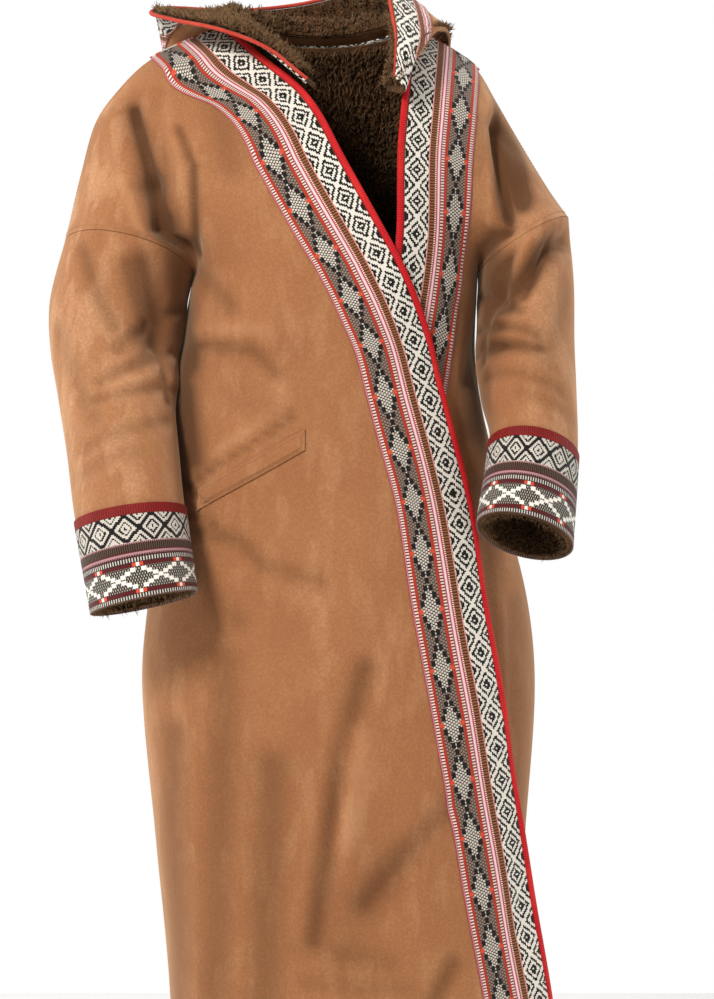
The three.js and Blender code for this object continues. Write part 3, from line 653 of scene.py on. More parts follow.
hoodCloth = hoodPlain.pressed(hoodDents)
hoodU = np.linspace(0, 1, 141)
legV = np.linspace(1, hoodCut["outerLeg"], 61)
legRuns = np.array([runs(hoodPlain.at(u, legV)) for u in hoodU])


# the v that lies a distance below the rim, for one distance or for one at each u
def vBelowRim(u, distance):
    share = np.array([np.interp(distance, run, legV) for run in legRuns])
    return np.interp(u, hoodU, share)


def nearestRun(u):
    return np.clip((u * (len(hoodU) - 1)).round().astype(int), 0, len(hoodU) - 1)


def vBelowRimAt(u, distances):
    return np.array([np.interp(d, legRuns[i], legV) for i, d in zip(nearestRun(u), distances)])


# the u at which rows of a front are a distance in from its edge, and the run along that edge
edgeV = np.linspace(0, shoulderV, 161)


class Edge:
    def __init__(self, cloth):
        self.cloth = cloth
        self.line = cloth.at(0.0, edgeV)
        self.run = runs(self.line)
        self.tangent = unit(np.gradient(self.line, axis=0))
        self.known = {}

    def inward(self, distance):
        if distance not in self.known:
            low, high = np.zeros(len(edgeV)), np.ones(len(edgeV))
            for _ in range(22):
                middle = (low + high) / 2
                reach = np.linalg.norm(np.cross(self.cloth.at(middle, edgeV) - self.line, self.tangent), axis=1)
                low, high = np.where(reach < distance, middle, low), np.where(reach < distance, high, middle)
            self.known[distance] = (low + high) / 2
        return self.known[distance]

    def u(self, distance, v):
        return np.interp(v, edgeV, self.inward(distance))

    # across and along the edge, in millimetres, of points of the cloth
    def measure(self, points, v):
        line, tangent = (np.stack([np.interp(v, edgeV, a[:, k]) for k in range(3)], -1)
                         for a in (self.line, self.tangent))
        off = points - line
        shift = np.sum(off * tangent, -1)
        across = np.linalg.norm(off - tangent * shift[..., None], axis=-1)
        return np.stack([across, np.interp(v, edgeV, self.run) + shift], -1)


def panelV(share):
    low = bodyCut["skirtShare"]
    return np.where(share < low, share / low, 1 + (share - low) / (1 - low) * (shoulderV - 1))


rightEdgeLine, leftEdgeLine = Edge(rightCloth), Edge(leftCloth)
print("forms ready")

materials = {}


# a mesh from a grid laid over a surface: place gives points and flat places for shares a, b
def weave(name, columns, rows, place, normalOf=None, joined=False, closed=False, paintedShadeOf=None):
    bm = bmesh.new()
    bmesh.ops.create_grid(bm, x_segments=columns, y_segments=rows, size=0.5)
    bm.verts.index_update()
    spots = np.array([v.co[:2] for v in bm.verts]) + 0.5
    points, flat = place(spots[:, 0], spots[:, 1])
    uv = bm.loops.layers.uv.new("cloth")
    # painted shade for each point, kept in a uv layer of its own
    crease = bm.loops.layers.uv.new("crease")
    paintedShadeValues = paintedShadeOf(spots[:, 0], spots[:, 1]) if paintedShadeOf else np.zeros(len(spots))
    for vert, point in zip(bm.verts, points / 1000):
        vert.co = point
    for face in bm.faces:
        face.smooth = True
        for loop in face.loops:
            loop[uv].uv = flat[loop.vert.index]
            loop[crease].uv = (paintedShadeValues[loop.vert.index], 0)
    if normalOf is not None:
        wanted = normalOf(spots[:, 0], spots[:, 1])
        agree = 0
        for face in list(bm.faces)[:: max(1, len(bm.faces) // 400)]:
            face.normal_update()
            agree += face.normal.dot(wanted[face.verts[0].index])
        if agree < 0:
            bmesh.ops.reverse_faces(bm, faces=bm.faces)
    if joined or closed:
        bmesh.ops.remove_doubles(bm, verts=bm.verts, dist=1e-6)
    if closed:
        bmesh.ops.recalc_face_normals(bm, faces=bm.faces)
    return objectOf(name, bm)


def objectOf(name, bm):
    mesh = bpy.data.meshes.new(name)
    bm.to_mesh(mesh)
    bm.free()
    obj = bpy.data.objects.new(name, mesh)
    bpy.context.scene.collection.objects.link(obj)
    return obj


# the same over a cloth: spots gives its u and v for shares a, b; the cloth's painted shade is kept when asked
def weaveOver(name, cloth, columns, rows, spots, place, joined=False, withPaintedShade=False):
    return weave(name, columns, rows, place, lambda a, b: cloth.normal(*spots(a, b)), joined,
                 paintedShadeOf=(lambda a, b: cloth.darkness(*spots(a, b))) if withPaintedShade else None)


# gives a sheet its thickness inwards, with its own finish inside
def thicken(obj, thickness, outside, inside=None, rim=None):
    for name in [outside, inside or outside, rim or outside]:
        obj.data.materials.append(materials[name])
    shell = obj.modifiers.new("thickness", "SOLIDIFY")
    shell.thickness = thickness / 1000
    shell.offset = -1
    shell.material_offset = 1
    shell.material_offset_rim = 2
    return settle(obj)


# applies the modifiers; sharp rims stay crisp
def settle(obj, crisp=True):
    bpy.context.view_layer.update()
    evaluated = obj.evaluated_get(bpy.context.evaluated_depsgraph_get())
    mesh = bpy.data.meshes.new_from_object(evaluated)
    obj.modifiers.clear()
    old, obj.data = obj.data, mesh
    mesh.name = obj.name
    bpy.data.meshes.remove(old)
    if crisp:
        mesh.set_sharp_from_angle(angle=math.radians(50))
    return obj


# copies of a small shape, and the shape's own points: each copy's points follow the last one's
def copies(name, bm, count):
    obj = objectOf(name, bm)
    shape = np.array([v.co for v in obj.data.vertices])
    row = obj.modifiers.new("copies", "ARRAY")
    row.count = count
    row.use_relative_offset = False
    return settle(obj, crisp=False), shape


# lays the copies at their places, with flat places for the weave's threads
def layCopies(obj, points, finish, flatOf=None):
    mesh = obj.data
    mesh.vertices.foreach_set("co", (points / 1000).ravel())
    uv = mesh.uv_layers.new(name="cloth")
    if flatOf is not None:
        loops = np.zeros(len(mesh.loops), int)
        mesh.loops.foreach_get("vertex_index", loops)
        uv.data.foreach_set("uv", flatOf(loops).ravel())
    mesh.polygons.foreach_set("use_smooth", [True] * len(mesh.polygons))
    mesh.materials.append(materials[finish])
    mesh.update()
    return obj


def piece(obj, nodes=()):
    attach(obj, "root")
    if nodes:
        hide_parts(*nodes)
    return obj


# shader values as expressions: each operation adds a node to its tree
class Wire:
    def __init__(self, tree, socket):
        self.tree, self.socket = tree, socket

    def math(self, kind, *others):
        node = self.tree.nodes.new("ShaderNodeMath")
        node.operation = kind
        for slot, value in zip(node.inputs, (self, *others)):
            if isinstance(value, Wire):
                self.tree.links.new(value.socket, slot)
            else:
                slot.default_value = value
        return Wire(self.tree, node.outputs[0])

    def __add__(self, other):
        return self.math("ADD", other)

    def __sub__(self, other):
        return self.math("SUBTRACT", other)

    def __mul__(self, other):
        return self.math("MULTIPLY", other)

    def __truediv__(self, other):
        return self.math("DIVIDE", other)

    def __gt__(self, other):
        return self.math("GREATER_THAN", other)

    def __lt__(self, other):
        return self.math("LESS_THAN", other)

    def cell(self, size):
        return ((self / size).math("FLOOR") + 0.5) * size

    def limited(self, most):
        return self.math("MAXIMUM", 0).math("MINIMUM", most)

    def within(self, low, high):
        return (self > low) * (self < high)

    def pulse(self, period, share):
        return (self / period).math("FRACT") < share

    def ribs(self, period):
        return (self * (math.pi / period)).math("SINE").math("ABSOLUTE")


def mixed(factor, a, b):
    tree = factor.tree
    node = tree.nodes.new("ShaderNodeMix")
    node.data_type = "RGBA"
    for slot, value in zip((node.inputs[0], node.inputs[6], node.inputs[7]), (factor, a, b)):
        if isinstance(value, Wire):
            tree.links.new(value.socket, slot)
        else:
            slot.default_value = colour(value)
    return Wire(tree, node.outputs[2])


# a hex colour as linear values
def colour(text):
    parts = [int(text[k:k + 2], 16) / 255 for k in (0, 2, 4)]
    return [p / 12.92 if p < 0.04045 else ((p + 0.055) / 1.055) ** 2.4 for p in parts] + [1]


def ramp(value, stops, smoothly=False):
    node = value.tree.nodes.new("ShaderNodeValToRGB")
    node.color_ramp.interpolation = "EASE" if smoothly else "CONSTANT"
    elements = node.color_ramp.elements
    while len(elements) < len(stops):
        elements.new(1)
    for element, (place, text) in zip(elements, stops):
        element.position = place
        element.color = colour(text)
    value.tree.links.new(value.socket, node.inputs[0])
    return Wire(value.tree, node.outputs[0])


def noise(tree, coords, scale, detail=3, stretch=None):
    node = tree.nodes.new("ShaderNodeTexNoise")
    node.inputs["Scale"].default_value = scale
    node.inputs["Detail"].default_value = detail
    if stretch:
        mapping = tree.nodes.new("ShaderNodeMapping")
        mapping.inputs["Scale"].default_value = stretch
        tree.links.new(coords.socket, mapping.inputs["Vector"])
        coords = Wire(tree, mapping.outputs[0])
    tree.links.new(coords.socket, node.inputs["Vector"])
    return Wire(tree, node.outputs[0])


def group(name, inputs, outputs, build):
    tree = bpy.data.node_groups.new(name, "ShaderNodeTree")
    for title, kind in inputs:
        tree.interface.new_socket(title, in_out="INPUT", socket_type=kind)
    for title, kind in outputs:
        tree.interface.new_socket(title, in_out="OUTPUT", socket_type=kind)
    start = tree.nodes.new("NodeGroupInput")
    end = tree.nodes.new("NodeGroupOutput")
    results = build(tree, *[Wire(tree, s) for s in start.outputs[:len(inputs)]])
    for result, slot in zip(results, end.inputs):
        tree.links.new(result.socket, slot)
    return tree


def use(tree, name, *values):
    node = tree.nodes.new("ShaderNodeGroup")
    node.node_tree = bpy.data.node_groups[name]
    for value, slot in zip(values, node.inputs):
        if isinstance(value, Wire):
            tree.links.new(value.socket, slot)
        else:
            slot.default_value = value
    return [Wire(tree, s) for s in node.outputs]


number, vector = "NodeSocketFloat", "NodeSocketVector"


# the stitches that the weaves' motifs are made of, in millimetres
stitchSize = {
    "cell": 2.1,  # of the nested diamonds
    "squareLong": 3.6,  # of the large diamonds' squares, from the middle
    "squareWide": 2.5,
    "pointLong": 2.4,
    "pointWide": 2.6,
    "steps": 8,  # squares round a diamond, from point to point and back
    "round": 0.6,
}


# nested diamonds: 0 on the crossing lines, 1 in the middle of each diamond
def ringsOf(tree, across, along, width, period):
    p = along.cell(stitchSize["cell"]).math("PINGPONG", period * 0.5) / (period * 0.5)
    q = (across.cell(stitchSize["cell"]) - width * 0.5).math("ABSOLUTE") / (width * 0.5)
    return [(p + q - 1).math("ABSOLUTE")]


# woven threads: the height of one small stitch in a brick layout
def threadsOf(tree, across, along, pitch):
    shift = (across / pitch).math("FLOOR").math("PINGPONG", 1) * pitch * 0.5
    bump = (across * math.pi / pitch).math("SINE").math("ABSOLUTE")
    bump = bump * ((along + shift) * math.pi / pitch).math("SINE").math("ABSOLUTE")
    return [bump.math("POWER", stitchSize["round"])]


# squares stepping along the outlines of large diamonds, and the orange squares at their points
def stepsOf(tree, across, along, width, period):
    size = stitchSize
    stepLong, stepWide = period / size["steps"], width / size["steps"]
    p = along.math("PINGPONG", period * 0.5)
    q = (across - width * 0.5).math("ABSOLUTE")
    k = (p / stepLong + 0.5).math("FLOOR")
    nearLong = (p - k * stepLong).math("ABSOLUTE") < size["squareLong"]
    nearWide = (q - (width * 0.5 - k * stepWide)).math("ABSOLUTE") < size["squareWide"]
    point = (p < size["pointLong"]) * ((q - width * 0.5).math("ABSOLUTE") < size["pointWide"])
    inside = (p / (period * 0.5) + q / (width * 0.5)) < 1
    return [nearLong * nearWide * (k > 0.5), point, inside]


# unevenness of colour and the height of the nap: scale, detail and stretch
mottle = {
    "broad": (7, 4),
    "middle": (34, 5, (1, 1, 0.45)),
    "fine": (320, 3),
    "streak": (26, 6, (1, 1, 0.3)),
}


def mottleOf(tree, coords):
    return [noise(tree, coords, *mottle[k]) for k in mottle]


group("nestedRings", [("Across", number), ("Along", number), ("Width", number), ("Period", number)],
      [("Ring", number)], ringsOf)
group("threads", [("Across", number), ("Along", number), ("Pitch", number)], [("Height", number)], threadsOf)
group("diamondSteps", [("Across", number), ("Along", number), ("Width", number), ("Period", number)],
      [("Squares", number), ("Points", number), ("Inside", number)], stepsOf)
group("mottle", [("Place", vector)], [(k, number) for k in mottle], mottleOf)


def newMaterial(name, rough, sheen=0.0, sheenTint="FFFFFF", specular=0.25):
    material = bpy.data.materials.new(name)
    material.use_nodes = True
    tree = material.node_tree
    shader = tree.nodes["Principled BSDF"]
    shader.inputs["Roughness"].default_value = rough
    shader.inputs["Specular IOR Level"].default_value = specular
    shader.inputs["Sheen Weight"].default_value = sheen
    shader.inputs["Sheen Roughness"].default_value = 0.45
    shader.inputs["Sheen Tint"].default_value = colour(sheenTint)
    materials[name] = material
    return tree, shader


def finishMaterial(tree, shader, base, height, distance, strength=0.6):
    tree.links.new(base.socket, shader.inputs["Base Color"])
    bump = tree.nodes.new("ShaderNodeBump")
    bump.inputs["Strength"].default_value = strength
    bump.inputs["Distance"].default_value = distance
    tree.links.new(height.socket, bump.inputs["Height"])
    tree.links.new(bump.outputs[0], shader.inputs["Normal"])


def axesOf(tree, socket):
    split = tree.nodes.new("ShaderNodeSeparateXYZ")
    tree.links.new(socket, split.inputs[0])
    return [Wire(tree, out) for out in split.outputs]


def objectCoords(tree):
    return Wire(tree, tree.nodes.new("ShaderNodeTexCoord").outputs["Object"])


def clothCoords(tree, layer="cloth"):
    node = tree.nodes.new("ShaderNodeUVMap")
    node.uv_map = layer
    return axesOf(tree, node.outputs[0])[:2]


def mottled(tree):
    return dict(zip(mottle, use(tree, "mottle", objectCoords(tree))))


# lays a colour over another where a mask is high
def tinted(base, mask, gain, offset, most, tint):
    return mixed((mask * gain + offset).limited(most), base, tint)


# the suede's coats, each with its gain, offset, greatest strength and colour
suede = {
    "sheen": (0.42, "F6D5B0"),
    "dark": "8F5C3A",
    "light": "A16E48",
    "broad": (1.7, -0.35, 1),
    "worn": (1.8, -0.95, 0.2, "B98A62"),
    "brushed": (2.6, -1.45, 0.25, "BE8D66"),
    "outer": (9, -1.8, 1),  # towards the wearer's sides
    "low": (-7, -1.6, 1),  # towards the hem
    # painted highlight on the sides, lower down
    "lowSideHighlight": (0.22, 0, 1, "C4946C"),
    # painted highlight in streaks on the sides
    "sideHighlightStreaks": (7, -3.5, 0.34, "C99A74"),
    "specks": (1.4, -0.5, 0.3, "74492C"),
    # painted shade in creases and folds
    "creases": (0.088, -0.03, 0.8, "371D0B"),
    # painted highlight on ridges
    "ridgeHighlights": (-0.09, 0, 0.4, "C4936B"),
}


def suedeMaterial():
    def mask(wire, name):
        gain, offset, most = suede[name]
        return (wire * gain + offset).limited(most)

    tree, shader = newMaterial("suede", 0.92, *suede["sheen"], 0.15)
    grain = mottled(tree)
    x, y, z = axesOf(tree, objectCoords(tree).socket)
    outer, low = mask(x.math("ABSOLUTE"), "outer"), mask(z, "low")
    gain, offset, most, highlightStreakTint = suede["sideHighlightStreaks"]
    base = mixed(mask(grain["broad"], "broad"), suede["dark"], suede["light"])
    base = tinted(base, grain["middle"], *suede["worn"])
    base = tinted(base, grain["streak"], *suede["brushed"])
    # painted highlights on the sides: an even one lower down, then streaks
    base = tinted(base, outer * low, *suede["lowSideHighlight"])
    base = mixed((grain["streak"] * gain + offset).limited(most) * outer, base, highlightStreakTint)
    base = tinted(base, grain["fine"], *suede["specks"])
    # painted shade in creases and folds and painted highlight on ridges, read from their own uv layer
    depth = clothCoords(tree, "crease")[0]
    base = tinted(base, depth, *suede["creases"])
    base = tinted(base, depth, *suede["ridgeHighlights"])
    finishMaterial(tree, shader, base, grain["fine"] * 0.6 + grain["middle"], 0.0012, 0.5)


# the fur in the cloth's back, and its locks
fur = {
    "ground": ("38220F", "5E4029"),
    "locks": ("38200F", "64432A"),
    "patches": (2.6, -0.85),
    "tips": (0.55, "9C7852"),
    "darkLocks": (1.6, -0.8, 0.7, "2A180D"),
}


def furMaterial(name, tones, locks=False):
    tree, shader = newMaterial(name, 0.95, 0.2, "E8C9A0", 0.12)
    grain = mottled(tree)
    gain, offset = fur["patches"]
    base = mixed((grain["middle"] * gain + offset).limited(1), *tones)
    if locks:
        tone, along = clothCoords(tree)
        share, tips = fur["tips"]
        base = mixed(along * along * share, base, tips)
        base = tinted(base, tone, *fur["darkLocks"])
    finishMaterial(tree, shader, base, grain["fine"] + grain["middle"] * 2, 0.004, 0.9)


trimWeave = {
    "scale": 0.945,
    "width": 100,
    "thread": 1.25,
    "latticeWidth": 30.0,
    "latticePitch": 40.0,
    "lattice": [(0, "D9D2C6"), (0.17, "0E0B09"), (0.4, "D9D2C6"), (0.61, "0E0B09"), (0.9, "D9D2C6")],
    "stripes": [
        (0, "17130F"), (30, "D98F88"), (31.2, "3E2514"), (38.2, "A3352C"), (40.2, "8E2026"), (41.2, "D9A0A6"),
        (42.4, "E8D2D2"), (43.4, "D9A0A6"), (44.6, "8C2A35"), (46, "74191A"), (50.2, "A8301C"),
        (53.8, "3A2C26"), (78.2, "A8301C"), (81.8, "74191A"), (86, "BE6E78"), (87.4, "8C2A35"),
    ],
    "dashes": [
        (31.2, 38.2, 3.7, 0.5, "8A5430"), (38.2, 40.2, 2.6, 0.45, "EBD9CF"), (46, 50.2, 3.7, 0.5, "D6CDC2"),
        (81.8, 86, 3.7, 0.5, "D6CDC2"),
    ],
    "check": (53.8, 78.2, 2.7, 0.2, 4.2, 0.62),
    "checkTints": ("8A776A", "CBC3B6"),  # outside and inside the large diamonds
    "steps": (53.8, 24.4, 70.0),
    "squares": (53, 79, "14100D"),
    "points": "C8482A",
}
cuffWeave = {
    "scale": 0.975,
    "width": 110,
    "thread": 1.4,
    "latticeWidth": 34.0,
    "latticePitch": 37.0,
    "lattice": [(0, "0E0B09"), (0.18, "C4BCB0"), (0.43, "0E0B09"), (0.6, "C4BCB0"), (0.87, "0E0B09")],
    "stripes": [
        (0, "CDC5B8"), (34, "4A1614"), (36, "22150E"), (45, "4E1519"), (46.8, "A87C7E"), (49, "3A1012"),
        (52.5, "15100E"), (58.5, "4E1012"), (64, "15100E"), (91, "4E1012"), (96.5, "15100E"), (101.5, "6A4A44"),
    ],
    "dashes": [
        (34, 36, 2.8, 0.45, "B98A8C"), (36, 45, 3.1, 0.4, "5A4232"), (49, 51, 3.4, 0.4, "9A7474"),
        (53, 58, 3.9, 0.42, "C6BEB2"), (97, 101.5, 3.9, 0.42, "C6BEB2"),
    ],
    "check": (64, 91, 3.4, 0.25, 3.7, 0.42),
    "checkTints": ("A89F92", "A89F92"),
    "steps": (64, 27.0, 60.0),
    "squares": (63, 92, "E6E1D6"),
    "rims": ((59, 63.5), (91.5, 96)),  # where the diamonds' points have stitches of two colours
    "flank": (5.2, 2.4, "C9452A"),
}


# the stripes, lattice, dashes, check and large diamonds of a band
def bandOf(band, a, along):
    tree = a.tree
    ring, = use(tree, "nestedRings", a, along, band["latticeWidth"], band["latticePitch"])
    base = ramp(a / band["width"], [(place / band["width"], tint) for place, tint in band["stripes"]])
    base = mixed(a < band["latticeWidth"], base, ramp(ring, band["lattice"]))
    for low, high, pitch, share, tint in band["dashes"]:
        base = mixed(a.within(low, high) * along.pulse(pitch, share), base, tint)
    start, width, period = band["steps"]
    squares, points, inside = use(tree, "diamondSteps", a - start, along, width, period)
    low, high, row, gap, pitch, share = band["check"]
    shift = (a / row).math("FLOOR").math("PINGPONG", 1) * (pitch / 2)
    check = a.within(low, high) * (along + shift).pulse(pitch, share) * ((a / row).math("FRACT") > gap)
    base = mixed(check, base, mixed(inside, *band["checkTints"]))
    low, high, tint = band["squares"]
    base = mixed(a.within(low, high) * squares, base, tint)
    return base, points


def finishBand(tree, shader, band, base, a, along):
    threads, = use(tree, "threads", a, along, band["thread"])
    finishMaterial(tree, shader, base, threads, 0.0006, 0.55)


# the woven trim, across from its inner edge beside the piping, along the front's edge
def trimMaterial():
    tree, shader = newMaterial("wovenTrim", 0.85, 0.1)
    across, along = clothCoords(tree)
    a = across * trimWeave["scale"]
    base, points = bandOf(trimWeave, a, along)
    base = mixed(points, base, trimWeave["points"])
    finishBand(tree, shader, trimWeave, base, a, along)


# the cuff's band, across from its strip to the mouth, along round the arm
def cuffMaterial():
    tree, shader = newMaterial("wovenCuff", 0.85, 0.1)
    across, along = clothCoords(tree)
    a = across * cuffWeave["scale"]
    base, points = bandOf(cuffWeave, a, along)
    place, reach, orange = cuffWeave["flank"]
    fromPoint = along.math("PINGPONG", cuffWeave["steps"][2] / 2)
    first, second = (a.within(*rim) for rim in cuffWeave["rims"])
    rims = first + second
    base = mixed(((fromPoint - place).math("ABSOLUTE") < reach) * rims, base, orange)
    base = mixed((fromPoint < reach) * rims, base, cuffWeave["squares"][2])
    finishBand(tree, shader, cuffWeave, base, a, along)


# ribbed tapes and pipings: body colour, painted shade in the grooves, painted sheen in patches, and the ribs'
# pitch
tapes = {
    "redPiping": ("C4121A", "760A10", "E8402E", 3.0),
    "hoodPiping": ("B83A28", "7A1E14", "D8604A", 2.6),
    "darkRedTape": ("7A1310", "3E0808", "94241C", 3.4),
}


def tapeMaterial(name):
    body, groove, paintedSheen, pitch = tapes[name]
    tree, shader = newMaterial(name, 0.7, 0.08, "FFB0A0", 0.2)
    ribs = clothCoords(tree)[1].ribs(pitch)
    grain = mottled(tree)
    # painted shade in the grooves between the ribs
    base = mixed((ribs * 1.5 - 0.2).limited(1), groove, body)
    # painted sheen in random patches
    base = mixed((grain["middle"] - 0.45).math("MAXIMUM", 0), base, paintedSheen)
    finishMaterial(tree, shader, base, ribs + grain["fine"] * 0.2, 0.0005, 0.6)


def threadMaterial():
    tree, shader = newMaterial("thread", 0.7, 0.1)
    fine = mottled(tree)["fine"]
    finishMaterial(tree, shader, mixed(fine, "8A5B38", "B88A62"), fine, 0.0002, 0.4)


suedeMaterial()
furMaterial("fur", fur["ground"])
furMaterial("furStrand", fur["locks"], True)
trimMaterial()
cuffMaterial()
for name in tapes:
    tapeMaterial(name)
threadMaterial()
print("materials ready")


# the three panels of the body, fur-lined inside
panelCut = {
    "columns": {"right": 110, "left": 84, "back": 110},
    "frontRows": 190,
    "backRows": 180,
    "underPiping": 0.6,  # the fronts end this far inside the piping
    "seam": 0.00005,  # share of the cloth left free at a seam
}


def buildFront(side, cloth, edge):
    def spots(a, b):
        v = panelV(b)
        start = edge.u(pipingWidth + panelCut["underPiping"], v)
        return start + (1 - panelCut["seam"] - start) * a, v

    def place(a, b):
        u, v = spots(a, b)
        points = cloth.at(u, v)
        return points, edge.measure(points, v)

    obj = weaveOver("front_" + side, cloth, panelCut["columns"][side], panelCut["frontRows"], spots, place,
                    withPaintedShade=True)
    return piece(thicken(obj, wall, "suede", "fur", "fur"), ["front_" + side])


def buildBack():
    def spots(a, b):
        return panelCut["seam"] + (1 - 2 * panelCut["seam"]) * a, panelV(b)

    def place(a, b):
        points = backCloth.at(*spots(a, b))
        return points, points[:, [0, 2]]

    obj = weaveOver("back", backCloth, panelCut["columns"]["back"], panelCut["backRows"], spots, place,
                    withPaintedShade=True)
    return piece(thicken(obj, wall, "suede", "fur", "fur"), ["back"])


# the woven trim on a front, and the ribbed piping round its edge
trimCut = {
    "columns": 26,
    "rows": 340,
    "gap": 1.2,  # to the piping
    "innerRoll": 0.5,  # how far its two edges lie lower
    "outerRoll": 0.8,
}
pipingCut = {
    "columns": 14,
    "rows": 420,
    "middle": 3.4,  # from the edge of the cloth
    "reach": 4.5,
    "drop": 0.45,
    "bulge": 1.3,
    "sideRound": 0.75,
    "faceRound": 0.8,
    "girth": 22,
}


def powered(x, power):
    return np.sign(x) * np.abs(x) ** power


def buildTrim(side, cloth, edge):
    gap = pipingWidth + trimCut["gap"]

    def spots(a, b):
        v = panelV(b)
        start, bound = edge.u(gap, v), edge.u(trimWidth, v)
        return start + (bound - start) * a, v

    def place(a, b):
        u, v = spots(a, b)
        flat = edge.measure(cloth.at(u, v), v) - np.array([gap, 0])
        roll = trimCut["innerRoll"] * (a < 0.001) + trimCut["outerRoll"] * (a > 0.999)
        return cloth.lifted(u, v, seamGap + trimThick - roll), flat

    trim = weaveOver("trim_" + side, cloth, trimCut["columns"], trimCut["rows"], spots, place)
    piece(thicken(trim, trimThick, "wovenTrim"), ["trim_" + side])

    def around(a, b):
        v = panelV(b)
        turn = 2 * math.pi * a
        reach = pipingCut["middle"] + pipingCut["reach"] * powered(np.cos(turn), pipingCut["sideRound"])
        lift = (wall / 2 + pipingCut["bulge"]) * powered(np.sin(turn), pipingCut["faceRound"]) - pipingCut["drop"]
        u = edge.u(pipingWidth, v) * reach / pipingWidth
        flat = edge.measure(cloth.at(u, v), v)
        flat[:, 0] = a * pipingCut["girth"]
        return cloth.lifted(u, v, lift), flat

    piping = weave("piping_" + side, pipingCut["columns"], pipingCut["rows"], around, closed=True)
    piping.data.materials.append(materials["redPiping"])
    return trim, piece(piping, ["piping_" + side])


# the trim round the back of the neck
neckTrimCut = {
    "columns": 60,
    "rows": 14,
    "fall": 0.34,  # how far down the back it reaches, in v
    "fallRound": 0.7,
    "top": 2 - 0.004,
    "lift": 1.8,
    "crown": 3.2,  # further from the cloth behind the neck
    "width": 94,
    "length": 330,
}


def buildNeckTrim():
    cut = neckTrimCut
    rightEnd = neckStart * (1 - rightEdgeLine.u(trimWidth, shoulderV))
    leftEnd = neckEnd + (1 - neckEnd) * leftEdgeLine.u(trimWidth, shoulderV)

    def spots(a, b):
        inner = neckStart + (neckEnd - neckStart) * a
        outer = rightEnd + (leftEnd - rightEnd) * a
        fall = cut["fall"] * np.sin(math.pi * np.clip(a, 0, 1)) ** cut["fallRound"]
        return inner + (outer - inner) * b, cut["top"] - fall * b

    def place(a, b):
        u, v = spots(a, b)
        lift = cut["lift"] + cut["crown"] * smooth(3 * np.sin(math.pi * a)) + trimThick
        return backCloth.lifted(u, v, lift), np.stack([b * cut["width"], a * cut["length"]], -1)

    obj = weaveOver("trim_neck", backCloth, cut["columns"], cut["rows"], spots, place)
    return piece(thicken(obj, trimThick, "wovenTrim"), ["trim_neck"])


# the direction in which v rises on a cloth
def upAlong(cloth, u, v, step=0.01):
    far = np.minimum(v + step, 1)
    return unit(cloth.at(u, far) - cloth.at(u, far - step))


# a sleeve with its cuff's strip and band, and the fur inside its mouth
def buildSleeve(side, sections):
    cloth = sleeveCloth(side, sections)
    length = cloth.length
    cuffStart = 1 - sleeveCut["cuffLength"] / length
    stripEnd = cuffStart + sleeveCut["stripWidth"] / length
    liningStart = 1 - sleeveCut["furLength"] / length
    over = seamGap + trimThick

    def tube(name, first, last, lift, finish, thickness, inside=None):
        def spots(a, b):
            return a, first + (last - first) * b

        def place(a, b):
            v = spots(a, b)[1]
            return cloth.lifted(a, v, lift), np.stack([(v - first) * length, a * sleeveCut["ring"]], -1)

        node = f"{name}_{side}"
        obj = weaveOver(node, cloth, sleeveCut["columns"], sleeveCut["rows"][name], spots, place,
                        joined=True, withPaintedShade=True)
        return piece(thicken(obj, thickness, finish, inside, inside), [node])

    tubes = [
        tube("sleeve", 2 * seamGap / length, 1 - sleeveCut["endGap"] / length, 0, "suede", wall, "fur"),
        tube("cuff_strip", cuffStart, stripEnd, over + sleeveCut["stripLift"], "darkRedTape",
             trimThick),
        tube("cuff", stripEnd + seamGap / length, 1, over, "wovenCuff", trimThick),
        tube("cuff_lining", liningStart, 1 - sleeveCut["furGap"] / length, -wall - seamGap, "fur",
             sleeveCut["furThick"]),
    ]
    cut = cuffFurCut
    u = rng.random(cut["locks"])
    v = liningStart + (1 - cut["mouthGap"] / length - liningStart) * rng.random(cut["locks"])
    pelt = strands("cuff_fur_" + side, cloth.lifted(u, v, -cut["root"]), -cloth.normal(u, v),
                   upAlong(cloth, u, v) * cut["lean"], cut["length"], cut["thick"])
    return *tubes, pelt


